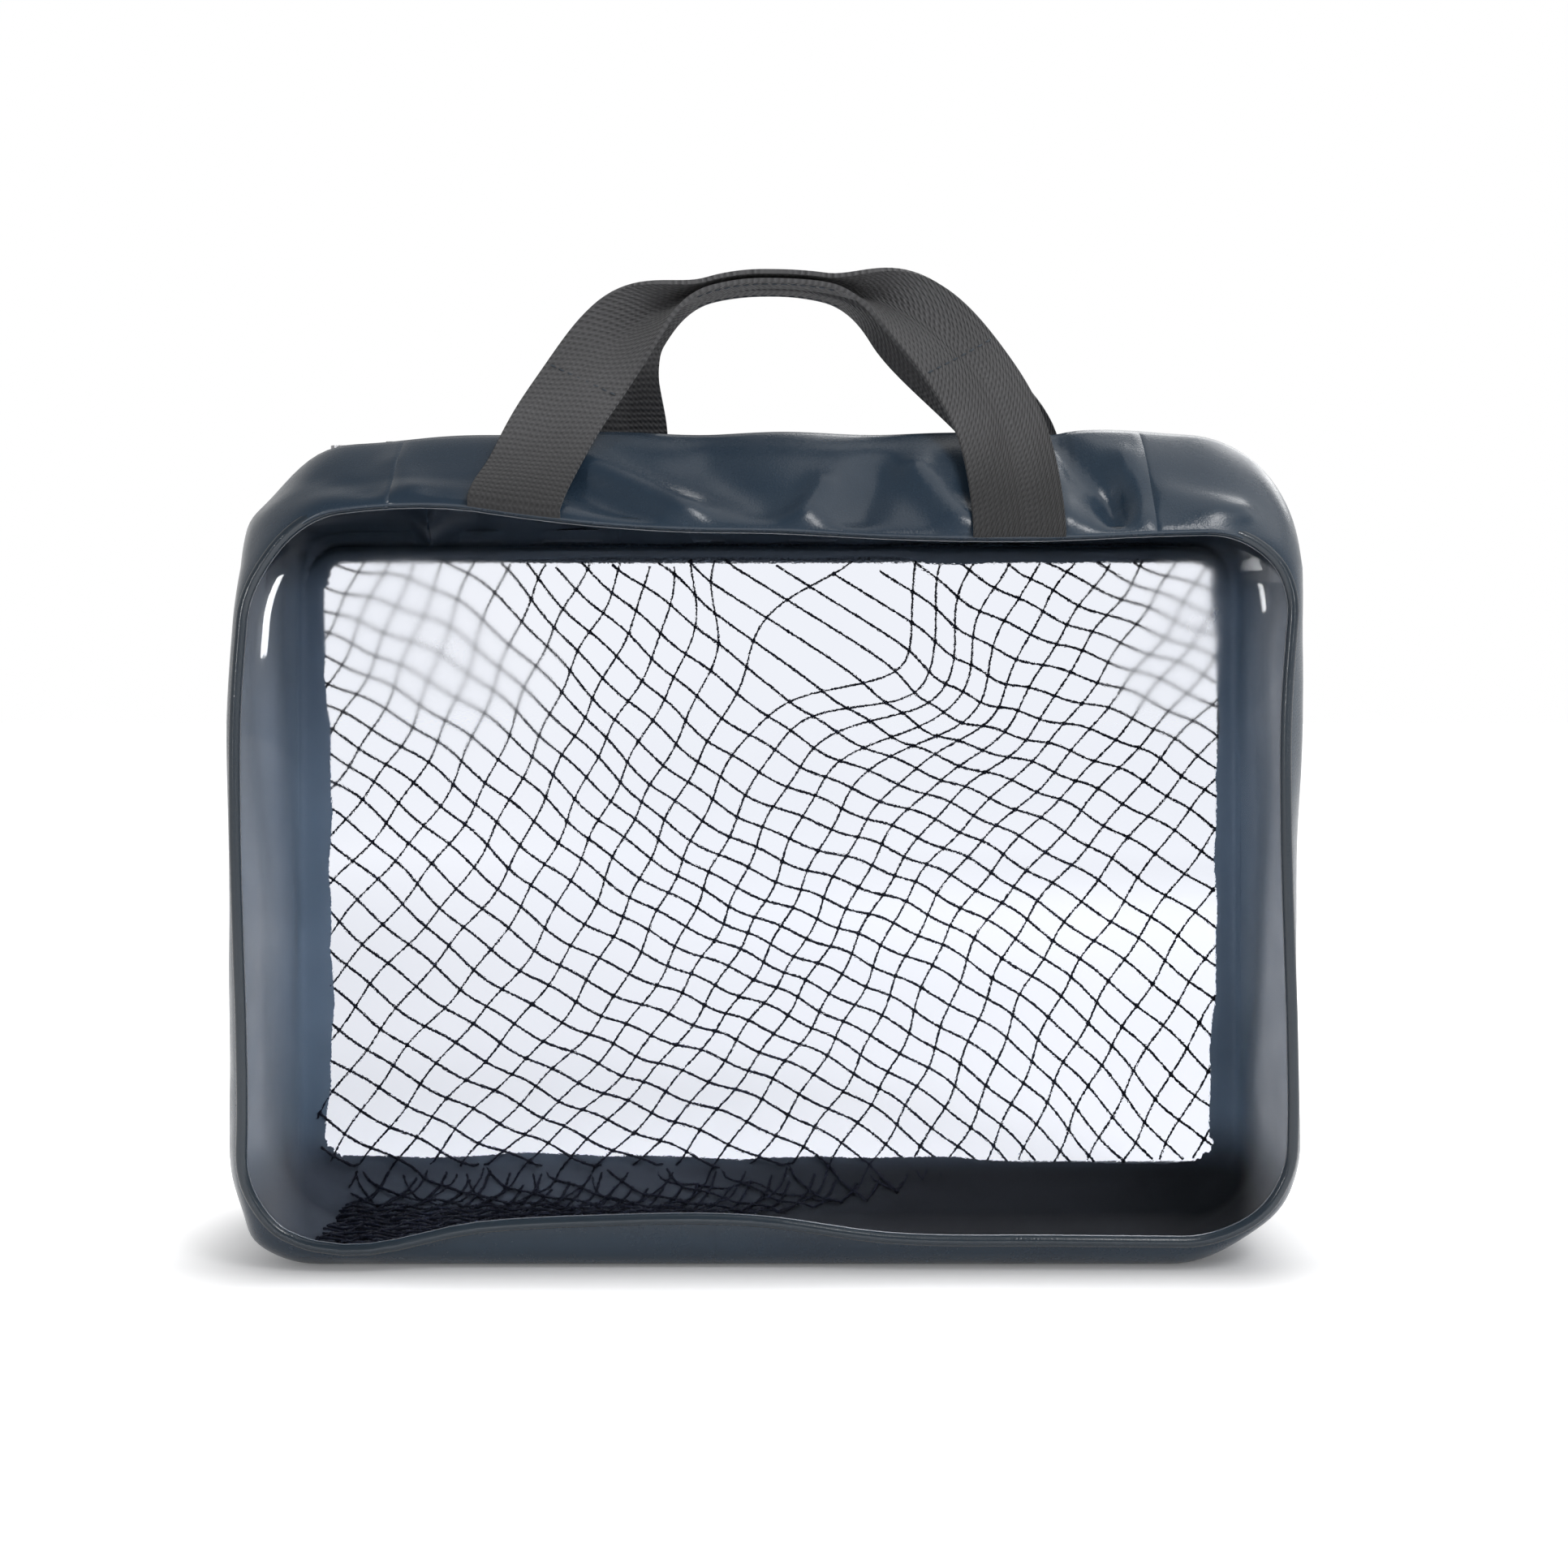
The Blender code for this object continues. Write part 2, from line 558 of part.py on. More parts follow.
def main():
    for old in list(bpy.data.objects):
        bpy.data.objects.remove(old, do_unlink=True)
    bag = collection("shoe_bag")
    cutters = collection("shoe_bag_cutters")
    slate = (0.055, 0.078, 0.102)
    vinyl = material("slate_vinyl", slate, 0.28)
    left_vinyl = material("slate_vinyl_left", slate, 0.28)
    right_vinyl = material("slate_vinyl_right", slate, 0.28)
    flap_vinyl = material("slate_vinyl_flap", slate, 0.28)
    back_vinyl = material("slate_vinyl_back", slate, 0.28)
    tab_vinyl = material("slate_vinyl_tab", (0.045, 0.064, 0.086), 0.32)
    cord = material("slate_piping", (0.040, 0.058, 0.076), 0.25)
    clear = material("clear_vinyl", (0.90, 0.92, 0.98), 0.05, alpha=0.25)
    thread = material("black_net", (0.011, 0.013, 0.024), 0.8)
    binding = material("black_binding", (0.014, 0.016, 0.022), 0.75)
    webbing = material("charcoal_webbing", (0.048, 0.048, 0.050), 0.9)
    back_webbing = material("charcoal_webbing_back", (0.040, 0.040, 0.042), 0.9)
    cloth = material("zip_cloth", (0.020, 0.022, 0.028), 0.85)
    teeth = material("zip_teeth_plastic", (0.025, 0.028, 0.034), 0.45)
    metal = material("zip_metal", (0.33, 0.33, 0.34), 0.32, metallic=1.0)

    inset = PIPING_RADIUS + FIT_GAP
    window = plate("front_window", [panel_outline(-HALF_DEPTH, inset)], WINDOW_SHEET, clear, bag)
    upright(window, -HALF_DEPTH)
    piping("front_piping", -HALF_DEPTH, cord, bag)
    piping("back_piping", HALF_DEPTH, cord, bag)
    hem = [panel_outline(HALF_DEPTH, inset), panel_outline(HALF_DEPTH, inset + BINDING_WIDTH)]
    band = plate("back_binding", hem, BINDING_SHEET, binding, bag)
    upright(band, HALF_DEPTH)
    net("back_net", HALF_DEPTH - BINDING_SHEET / 2 - FIT_GAP - NET_THREAD / 2, thread, bag)
    gusset("gusset_left", -1.0, True, left_vinyl, bag)
    gusset("gusset_right", 1.0, False, right_vinyl, bag)
    floor = VINYL + FIT_GAP
    box("gusset_join_tape", (JOIN_X - JOIN_TAPE_WIDTH / 2, -JOIN_TAPE_LENGTH / 2, floor),
        (JOIN_X + JOIN_TAPE_WIDTH / 2, JOIN_TAPE_LENGTH / 2, floor + VINYL), vinyl, bag)

    for side, label in ((-1.0, "left"), (1.0, "right")):
        end_tab(f"zip_end_tab_{label}", side, tab_vinyl, bag)
    tail_tape("zip_tail_tape", -1.0, cloth, bag)
    back = SLIDER_X - SLIDER_LENGTH / 2
    box("zip_tail_chain", (back + 0.0006, -TEETH_OUTER + 0.0012, ZIP_Z - TEETH_HEIGHT / 2),
        (back + SLIDER_LENGTH - 0.0028, TEETH_OUTER - 0.0012, ZIP_Z + TEETH_HEIGHT / 2), teeth, bag)
    end, half = back - RUN_GAP, TEETH_OUTER - TEETH_INNER
    box("zip_bottom_stop", (end - STOP_LENGTH, -half, ZIP_Z - STOP_HEIGHT / 2),
        (end, half, ZIP_Z + STOP_HEIGHT / 2), metal, bag, bevel=STOP_EDGE)

    for face, label, skin in ((-1.0, "front", flap_vinyl), (1.0, "back", back_vinyl)):
        flap(f"top_flap_{label}", face, skin, bag)
        zip_tape(f"zip_tape_{label}", face, cloth, bag)
        zip_teeth(f"zip_teeth_{label}", face, teeth, bag)
        top_stop(f"zip_top_stop_{label}", face, metal, bag)
    handle("handle_front", -1.0, HANDLE_SPREAD, HANDLE_RISE, HANDLE_SHIFT, 0.0, webbing, bag)
    handle("handle_back", 1.0, BACK_HANDLE_SPREAD, BACK_HANDLE_RISE, BACK_HANDLE_SHIFT, BACK_HANDLE_LEAN,
           back_webbing, bag)

    body, cuts, joins = slider("zip_slider", metal, bag, cutters)
    body = to_mesh(body)
    for other in cuts:
        join(body, "DIFFERENCE", other)
    for other in joins:
        solid = to_mesh(other) if other.type == "CURVE" else other
        solid.hide_render = True
        solid.display_type = "WIRE"
        join(body, "UNION", solid)
    pull("zip_pull", metal, bag)


main()
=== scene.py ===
"""Dresses the shoe bag: soft slate vinyl, a clear front, a knotted net back and webbing handles.

Metres, +Z up. The clear front faces -Y and the bag stands on z = 0.
"""

import logging
import math
from dataclasses import dataclass
from enum import Enum
from typing import Callable, Sequence

import bmesh
import bpy
import numpy as np
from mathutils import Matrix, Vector


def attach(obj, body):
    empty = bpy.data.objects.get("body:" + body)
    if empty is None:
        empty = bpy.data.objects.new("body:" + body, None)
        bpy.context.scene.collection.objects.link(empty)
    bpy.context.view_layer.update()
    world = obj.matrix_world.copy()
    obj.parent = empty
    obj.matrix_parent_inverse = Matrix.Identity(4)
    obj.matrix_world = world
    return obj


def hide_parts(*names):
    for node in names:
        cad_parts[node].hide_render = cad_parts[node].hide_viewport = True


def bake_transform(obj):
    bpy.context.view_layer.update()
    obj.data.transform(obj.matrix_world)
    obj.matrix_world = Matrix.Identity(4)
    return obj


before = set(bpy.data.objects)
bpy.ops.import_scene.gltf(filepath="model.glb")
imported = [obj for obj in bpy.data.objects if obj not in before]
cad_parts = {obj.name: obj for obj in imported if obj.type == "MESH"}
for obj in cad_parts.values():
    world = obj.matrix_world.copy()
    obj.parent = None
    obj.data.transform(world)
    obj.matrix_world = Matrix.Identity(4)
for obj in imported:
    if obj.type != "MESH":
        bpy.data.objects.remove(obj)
log = logging.getLogger("shoe_bag")
Array = np.ndarray
Colour = tuple[float, float, float]
Point = tuple[float, float, float]
MM = 0.001
FLOAT, INTEGER, VECTOR, COLOUR = "NodeSocketFloat", "NodeSocketInt", "NodeSocketVector", "NodeSocketColor"
SURFACE = {"Colour": COLOUR, "Roughness": FLOAT, "Height": FLOAT}
BAG_MIDDLE = (0.0, 0.0, 0.128)


class Face(Enum):
    """The two long faces of the bag, by the sign of y."""

    FRONT = -1.0
    BACK = 1.0


class Side(Enum):
    """The two ends of the bag, by the sign of x."""

    LEFT = -1.0
    RIGHT = 1.0


def ease(t: Array | float) -> Array:
    """Ease from 0 to 1 with level ends."""
    t = np.clip(t, 0.0, 1.0)
    return t * t * (3.0 - 2.0 * t)


def through(points: Sequence[tuple[float, float]]) -> Callable[[Array], Array]:
    """Make a smooth curve through given points.

    Args:
        points: Pairs of place and height in millimetres, in rising order of place.

    Returns:
        A function from places to heights in metres, level beyond the ends.
    """
    xs, ys = (np.array(column) * MM for column in zip(*points))
    slopes = np.gradient(ys, xs)

    def at(x: Array) -> Array:
        """Height of the curve at x."""
        x = np.clip(x, xs[0], xs[-1])
        k = np.clip(np.searchsorted(xs, x, side="right") - 1, 0, len(xs) - 2)
        span = xs[k + 1] - xs[k]
        t = (x - xs[k]) / span
        rise = ys[k] * (1 + 2 * t) * (1 - t) ** 2 + ys[k + 1] * t * t * (3 - 2 * t)
        return rise + span * (slopes[k] * t * (1 - t) ** 2 - slopes[k + 1] * t * t * (1 - t))

    return at


def xyz(x: Array | float, y: Array | float, z: Array | float) -> Array:
    """Points from their coordinates, each an array or one value for all."""
    return np.stack(np.broadcast_arrays(x, y, z), axis=-1)


@dataclass(frozen=True)
class BagSizes:
    """Sizes that every sub-assembly shares, the same as the solids'."""

    panel_width: float = 0.343
    panel_height: float = 0.232
    front_radius: float = 0.030
    back_radius: float = 0.014
    depth: float = 0.105
    side_bulge: float = 0.006
    bottom_sag: float = 0.012
    shoulder_rise: float = 0.035
    valley_dip: float = 0.0075
    shoulder_half: float = 0.019
    valley_half: float = 0.012
    dome_power: float = 0.75
    vinyl: float = 0.0008
    film: float = 0.0006
    piping: float = 0.002
    fit_gap: float = 0.0003
    zip_park: float = 0.0165
    hem_half: float = 0.0075
    tape: float = 0.0007
    teeth_inner: float = 0.0009
    teeth_outer: float = 0.0043
    teeth_height: float = 0.0022
    teeth_pitch: float = 0.0031
    join_x: float = -0.010
    lip: float = 0.0052
    lip_fade: float = 0.014
    lip_rows: tuple[tuple[float, float, float], ...] = ((0.0006, 0.0002, 0.0007), (0.0013, -0.0003, 0.0014))

    @property
    def bottom_z(self) -> float:
        """Level of the lower seams."""
        return self.bottom_sag

    @property
    def top_z(self) -> float:
        """Level of the upper seams."""
        return self.bottom_sag + self.panel_height

    @property
    def half_depth(self) -> float:
        """From the middle to a seam."""
        return self.depth / 2

    @property
    def gusset_half(self) -> float:
        """From the middle to the edge of a gusset."""
        return self.half_depth - self.piping - self.fit_gap

    @property
    def flap_half(self) -> float:
        """From the middle to the end of a flap."""
        return self.panel_width / 2 - self.front_radius - self.zip_park


@dataclass(frozen=True)
class Crease:
    """A soft fold in the top, a raised or sunken line seen from the front, in millimetres."""

    start: tuple[float, float]
    end: tuple[float, float]
    height: float
    width: float

    def at(self, x: Array, z: Array) -> Array:
        """Height of the fold at places x and z.

        Args:
            x: Places along the bag in metres.
            z: Levels in metres.

        Returns:
            Heights in metres.
        """
        a, b = np.array(self.start) * MM, np.array(self.end) * MM
        along = b - a
        t = np.clip(((x - a[0]) * along[0] + (z - a[1]) * along[1]) / float(along @ along), 0.0, 1.0)
        away = np.hypot(x - a[0] - along[0] * t, z - a[1] - along[1] * t)
        return self.height * MM * np.exp(-((away / (self.width * MM)) ** 2))


FRONT_CREASES = (
    Crease((-65, 267), (-28, 249), 3.4, 6.0),
    Crease((-70, 259), (-42, 246), -3.0, 6.0),
    Crease((8, 245), (17, 258), 2.8, 4.2),
    Crease((27, 247), (33, 262), -2.6, 7.0),
    Crease((-22, 266), (-4, 252), -1.8, 8.0),
    Crease((48, 264), (64, 245), 3.2, 5.5),
    Crease((91, 270), (96, 246), 3.0, 5.0),
    Crease((95, 275), (113, 256), -3.6, 6.0),
    Crease((113, 256), (114, 245), -3.6, 5.0),
    Crease((118, 268), (119, 248), 2.2, 4.0),
    Crease((130, 255), (153, 249), 2.2, 5.0),
    Crease((-126, 268), (-118, 250), 1.6, 6.0),
    Crease((-150, 262), (-132, 250), -1.6, 6.0),
)


@dataclass(frozen=True)
class Strip:
    """A gusset's outline at each depth: arrays of stations by depths."""

    x: Array
    z: Array
    nx: Array
    nz: Array
    top: Array
    bottom: Array
    lip: Array


class BagForm:
    """The bag's soft shape: the shell's surface, its folds and how it slumps."""

    def __init__(self, sizes: BagSizes) -> None:
        """Keep the sizes and set the lines that the slack seams follow.

        Args:
            sizes: The bag's sizes.
        """
        self.sizes = sizes
        self.top_line = through(((-171, 0), (-150, 5), (-125, 8), (-105, 8), (-82, 5), (-60, 2.5),
                                 (-30, 0.5), (0, 0), (40, -2), (90, -2.5), (125, -1), (171, 0)))
        self.bottom_line = through(((-150, -1), (-133, -3.6), (-88, 3.8), (-51, 5.9), (2, 5.9), (44, 0.4),
                                    (100, -0.6), (145, -1)))
        self.left_droop = through(((-178, -9), (-166, -7), (-155, -4.2), (-141, -2.8), (-127, -2.2),
                                   (-99, -1.6), (-60, 0)))
        self.lean = through(((2, -9.5), (9, -8.5), (19, -4.2), (32, -2.6), (80, -2), (105, -2.8), (150, -4),
                             (185, -3.8), (210, -2.1), (232, 0)))

    def corner_radius(self, y: Array | float) -> Array:
        """Radius of the bag's corners at depth y."""
        s = self.sizes
        return s.front_radius + (s.back_radius - s.front_radius) * ease(np.asarray(y) / s.gusset_half)

    def top_bulge(self, y: Array | float) -> Array:
        """Height of the top above the seams at depth y."""
        s = self.sizes
        y = np.abs(np.asarray(y, float))

        def dome(at: Array | float) -> Array:
            """Share of the dome's height left at a depth."""
            share = np.minimum(np.asarray(at) / s.gusset_half, 1.0)
            return (1.0 - share * share) ** s.dome_power

        crown = s.shoulder_rise * dome(np.maximum(y, s.valley_half)) / dome(s.shoulder_half)
        return crown - s.valley_dip * ease((s.shoulder_half - y) / (s.shoulder_half - s.valley_half))

    def wall_bulge(self, y: Array | float, flat: float = 0.68) -> Array:
        """Share of a side or bottom bulge at depth y."""
        share = np.minimum(np.abs(np.asarray(y, float)) / self.sizes.gusset_half, 1.0)
        return np.sqrt(np.maximum(0.0, 1.0 - (np.maximum(share - flat, 0.0) / (1.0 - flat)) ** 2))

    def strip(self, side: float, ys: Array, lead: int = 0,
              counts: tuple[int, int, int, int, int] = (8, 30, 26, 24, 40)) -> Strip:
        """Lay stations from the zip's end down to the bottom join.

        Args:
            side: Sign of x.
            ys: Depths.
            lead: Stations before the zip's end, for smooth folds there.
            counts: Steps on the top run, top corner, side, lower corner and bottom run.

        Returns:
            The stations at every depth.
        """
        s = self.sizes
        radius = self.corner_radius(ys)[None, :]
        straight = s.panel_width / 2 - radius
        level = np.ones_like(radius)
        rows: list[tuple[Array, ...]] = []

        def add(x: Array, z: Array, nx: float, nz: float, top: float, bottom: float, lip: float) -> None:
            """Note one station of the strip at every depth."""
            rows.append((x, z, nx * level, nz * level, top * level, bottom * level, lip * level))

        run, arc, wall, turn, base = counts
        for k in range(-lead, run):
            add(s.flap_half + (straight - s.flap_half) * k / run, s.top_z * level, 0.0, 1.0, 1.0, 0.0, 1.0)
        for k in range(arc + 1):
            f = k / arc
            sin, cos = math.sin(math.pi / 2 * f), math.cos(math.pi / 2 * f)
            add(straight + radius * sin, s.top_z - radius + radius * cos, sin, cos, float(ease(1 - f)), 0.0,
                float(ease(1 - f / 0.8)))
        for k in range(1, wall):
            add(s.panel_width / 2 * level, s.top_z - radius - (s.panel_height - 2 * radius) * k / wall,
                1.0, 0.0, 0.0, 0.0, 0.0)
        for k in range(turn + 1):
            f = k / turn
            sin, cos = math.sin(math.pi / 2 * f), math.cos(math.pi / 2 * f)
            add(straight + radius * cos, s.bottom_z + radius - radius * sin, cos, -sin, 0.0, float(ease(f)),
                0.0)
        for k in range(1, base + 1):
            add(straight + (side * s.join_x - straight) * k / base, s.bottom_z * level, 0.0, -1.0, 0.0, 1.0,
                0.0)
        return Strip(*(np.concatenate(column) for column in zip(*rows)))

    def shell(self, side: float, ys: Array, lift: float = 0.0, lead: int = 0) -> Array:
        """Points on the outside of a gusset.

        Args:
            side: Sign of x.
            ys: Depths, from front to back.
            lift: Distance outward from the surface.
            lead: Stations before the zip's end.

        Returns:
            A grid of points, stations by depths.
        """
        s, strip = self.sizes, self.strip(side, ys, lead)
        sides = 1 - strip.top - strip.bottom
        walls = (strip.bottom * s.bottom_sag + sides * s.side_bulge) * self.wall_bulge(ys)
        out = strip.top * self.top_bulge(ys) + walls + lift
        edge = ease((np.abs(ys) / s.gusset_half - 0.6) / 0.3) * np.sign(ys)
        push = s.lip * strip.lip * (1 - ease(out / s.lip_fade)) * edge
        return xyz(side * (strip.x + strip.nx * out), ys[None, :] + push, strip.z + strip.nz * out)

    def shell_edge(self, side: float, face: float, lead: int = 0) -> Array:
        """Two rows that close a gusset onto the piping, or make the lip over it.

        Args:
            side: Sign of x.
            face: Sign of y.
            lead: Stations before the zip's end.

        Returns:
            A grid of points, stations by two, the outer row last.
        """
        s = self.sizes
        strip = self.strip(side, np.array([face * s.gusset_half]), lead)
        columns = []
        for reach, turned, down in s.lip_rows:
            y = face * (s.gusset_half + reach + (s.lip + turned - reach) * strip.lip)
            out = -down * strip.lip
            columns.append(xyz(side * (strip.x + strip.nx * out), y, strip.z + strip.nz * out))
        return np.concatenate(columns, axis=1)

    def half_depths(self, inner: int = 7, outer: int = 20) -> Array:
        """Depths from the zip's hem to the seam, close together at the curves.

        Args:
            inner: Points from the hem to the shoulder.
            outer: Points from the shoulder to the seam.

        Returns:
            Rising depths.
        """
        s = self.sizes
        slope = np.linspace(s.hem_half, s.shoulder_half, inner)
        turn = np.sin(np.linspace(0, math.pi / 2, outer))
        fall = s.shoulder_half + (s.gusset_half - s.shoulder_half) * turn
        return np.concatenate([slope, fall[1:]])

    def flap_section(self) -> Array:
        """The front flap's section from its hem to under its lip.

        Returns:
            Rows of y and z, with y counted outward from the middle.
        """
        s, y = self.sizes, self.half_depths()
        rise = self.top_bulge(y)
        dome = np.stack([y + s.lip * (1 - ease(rise / s.lip_fade)), s.top_z + rise], axis=-1)
        under = [(s.gusset_half + s.lip + turned, s.top_z - down) for _, turned, down in s.lip_rows]
        return np.concatenate([dome, np.array(under)])

    def folds(self, points: Array) -> Array:
        """Height of the soft folds at each point.

        Args:
            points: A grid of points on the shell.

        Returns:
            Distances outward in metres.
        """
        s = self.sizes
        x, y, z = points[..., 0], points[..., 1], points[..., 2]
        front, back = ease((-0.013 - y) / 0.012), ease((y - 0.013) / 0.012)
        above = ease((z - s.top_z + 0.0005) / 0.006)
        raised = sum(crease.at(x, z) for crease in FRONT_CREASES)
        behind = sum(crease.at(-x - 0.012, z) for crease in FRONT_CREASES)
        top = above * (front * raised + 0.7 * back * behind)
        ripple = 0.0004 * (np.sin(61 * x + 23 * z + 1.0) + np.sin(-37 * x + 88 * z + 31 * y)
                           + np.sin(113 * x + 47 * y + 2.0))
        side = ease((np.abs(x) - 0.140) / 0.03) * ease((s.top_z - z) / 0.05) * ease((z - 0.01) / 0.05)
        dents = np.sin(33 * z + 19 * y + 1.7 + np.sign(x)) + 0.7 * np.sin(104 * y + 17 * z + 2 * np.sign(x))
        wall = 0.0015 * dents * side
        seam = ease((s.gusset_half - np.abs(y)) / 0.012)
        zip_clear = 1 - above * ease((0.016 - np.abs(y)) / 0.004)
        return top + (ripple * ease((z - 0.002) / 0.012) + wall) * seam * zip_clear

    def slump(self, points: Array) -> Array:
        """Let the slack seams drop or lift, and what hangs on them follow.

        Args:
            points: Points of any soft piece, as an array ending in x, y, z.

        Returns:
            The moved points.
        """
        s = self.sizes
        x, y, z = points[..., 0], points[..., 1], points[..., 2]
        front = ease((0.030 - y) / 0.070)
        over = np.where(z >= s.top_z, ease(1 - (z - s.top_z) / 0.030), ease(1 - (s.top_z - z) / 0.090))
        under = np.where(z >= s.bottom_z, ease(1 - (z - s.bottom_z) / 0.060),
                         ease((z - 0.001) / (s.bottom_z - 0.001)))
        shoulder = ease((z - s.top_z) / 0.025)
        near = ease((np.abs(y) - 0.012) / 0.005)
        keep_zip = near + (1 - near) * ease((-0.146 - x) / 0.012)
        moved = points.copy()
        moved[..., 2] += front * (over * self.top_line(x) + under * self.bottom_line(x))
        moved[..., 2] += shoulder * keep_zip * self.left_droop(x)
        moved[..., 0] += front * self.lean(z)
        return moved

    def soften(self, points: Array) -> Array:
        """Fold and slump a grid on the shell's outside.

        Args:
            points: A grid of points.

        Returns:
            The moved grid.
        """
        normal = np.cross(np.gradient(points, axis=0), np.gradient(points, axis=1))
        normal /= np.maximum(np.linalg.norm(normal, axis=-1, keepdims=True), 1e-12)
        middle = np.array([0.0, 0.0, self.sizes.top_z / 2])
        if np.sum(normal * (points - middle)) < 0:
            normal = -normal
        return self.slump(points + normal * self.folds(points)[..., None])

    def outline(self, radius: float, inset: float, steps: int = 16) -> Array:
        """A panel's rounded outline, moved inward from the piping's centreline.

        Args:
            radius: Radius of the corners at the centreline.
            inset: Distance inward.
            steps: Steps at each corner and along each run.

        Returns:
            Rows of x and z, closed, starting at the right side.
        """
        s = self.sizes
        half = np.array([s.panel_width / 2 - radius, s.panel_height / 2 - radius])
        middle = s.bottom_z + s.panel_height / 2
        loop: list[tuple[float, float]] = []
        for turn, (sx, sz) in enumerate(((1, 1), (-1, 1), (-1, -1), (1, -1))):
            for k in range(steps + 1):
                a = math.pi / 2 * (turn + k / steps)
                reach = radius - inset
                loop.append((sx * half[0] + reach * math.cos(a),
                             middle + sz * half[1] + reach * math.sin(a)))
            ahead = ((-1, 1), (-1, -1), (1, -1), (1, 1))[turn]
            last = np.array(loop[-1])
            a = math.pi / 2 * (turn + 1)
            goal = np.array([ahead[0] * half[0] + (radius - inset) * math.cos(a),
                             middle + ahead[1] * half[1] + (radius - inset) * math.sin(a)])
            loop += [tuple(last + (goal - last) * k / (2 * steps)) for k in range(1, 2 * steps)]
        return np.array(loop)


def lay_grid(name: str, points: Array, wrap: tuple[bool, bool] = (False, False),
             keep: Array | None = None) -> bpy.types.Object:
    """Make a smooth sheet from a grid of points, facing away from the bag's middle.

    Args:
        name: Name of the piece.
        points: Grid of points, rows by columns by three.
        wrap: Whether the rows and the columns close on themselves.
        keep: Which cells stay, or None for all of them.

    Returns:
        The piece, with a UV map in metres along its rows and columns.
    """
    rows, columns = points.shape[:2]
    ends = (rows + wrap[0], columns + wrap[1])
    full = points[np.arange(ends[0]) % rows][:, np.arange(ends[1]) % columns]
    lengths = []
    for axis in (0, 1):
        steps = np.linalg.norm(np.diff(full, axis=axis), axis=-1)
        pad = [(1, 0) if k == axis else (0, 0) for k in (0, 1)]
        lengths.append(np.pad(np.cumsum(steps, axis=axis), pad))
    cells = [(i, j) for i in range(ends[0] - 1) for j in range(ends[1] - 1) if keep is None or keep[i, j]]
    corners = np.array([((i, j), (i + 1, j), (i + 1, j + 1), (i, j + 1)) for i, j in cells])
    quads = full[corners[..., 0], corners[..., 1]]
    facing = np.cross(quads[:, 2] - quads[:, 0], quads[:, 3] - quads[:, 1])
    middle = np.array(BAG_MIDDLE)
    if np.sum(facing * (quads.mean(axis=1) - middle)) < 0:
        corners = corners[:, ::-1]
    spots = (corners[..., 0] % rows) * columns + corners[..., 1] % columns
    mesh = bpy.data.meshes.new(name)
    mesh.from_pydata(points.reshape(-1, 3).tolist(), [], spots.tolist())
    layer = mesh.uv_layers.new(name="weave")
    places = np.stack([length[corners[..., 0], corners[..., 1]] for length in lengths], axis=-1)
    layer.data.foreach_set("uv", places.reshape(-1).astype(np.float32))
    if keep is not None:
        trim_loose(mesh)
    mesh.shade_smooth()
    made = bpy.data.objects.new(name, mesh)
    bpy.context.scene.collection.objects.link(made)
    return made


def trim_loose(mesh: bpy.types.Mesh) -> None:
    """Delete the points that no face uses."""
    bm = bmesh.new()
    bm.from_mesh(mesh)
    bmesh.ops.delete(bm, geom=[v for v in bm.verts if not v.link_faces], context="VERTS")
    bm.to_mesh(mesh)
    bm.free()


def thicken(piece: bpy.types.Object, thickness: float, offset: float = -1.0,
            lined: bool = False) -> bpy.types.Object:
    """Give a sheet its wall, inward unless the offset differs, its inside in the second finish if lined."""
    wall = piece.modifiers.new("wall", "SOLIDIFY")
    wall.thickness = thickness
    wall.offset = offset
    wall.use_even_offset = not lined
    wall.material_offset = 1 if lined else 0
    calm = piece.modifiers.new("calm", "WEIGHTED_NORMAL")
    calm.weight = 100
    return piece


def path_mesh(name: str, lines: Sequence[Array], closed: bool = False,
              knots: Sequence[Array] | None = None) -> bpy.types.Mesh:
    """Lines as edges for a recipe to follow.

    Args:
        name: Name of the mesh.
        lines: Each line's points.
        closed: Whether every line closes on itself.
        knots: For each line, which of its points carry a knot.

    Returns:
        A mesh of edges, with a point attribute named knot if knots were given.
    """
    mesh = bpy.data.meshes.new(name)
    edges, first = [], 0
    for line in lines:
        count = len(line)
        edges += [(first + k, first + k + 1) for k in range(count - 1)]
        edges += [(first + count - 1, first)] if closed else []
        first += count
    mesh.from_pydata(np.concatenate(lines).tolist(), edges, [])
    if knots is not None:
        marks = mesh.attributes.new("knot", "BOOLEAN", "POINT")
        marks.data.foreach_set("value", np.concatenate(knots).astype(bool))
    return mesh


def feed(tree: bpy.types.NodeTree, socket: bpy.types.NodeSocket, value: object) -> None:
    """Link a source socket to an input, or set the input's value."""
    if isinstance(value, bpy.types.NodeSocket):
        tree.links.new(value, socket)
    else:
        socket.default_value = value


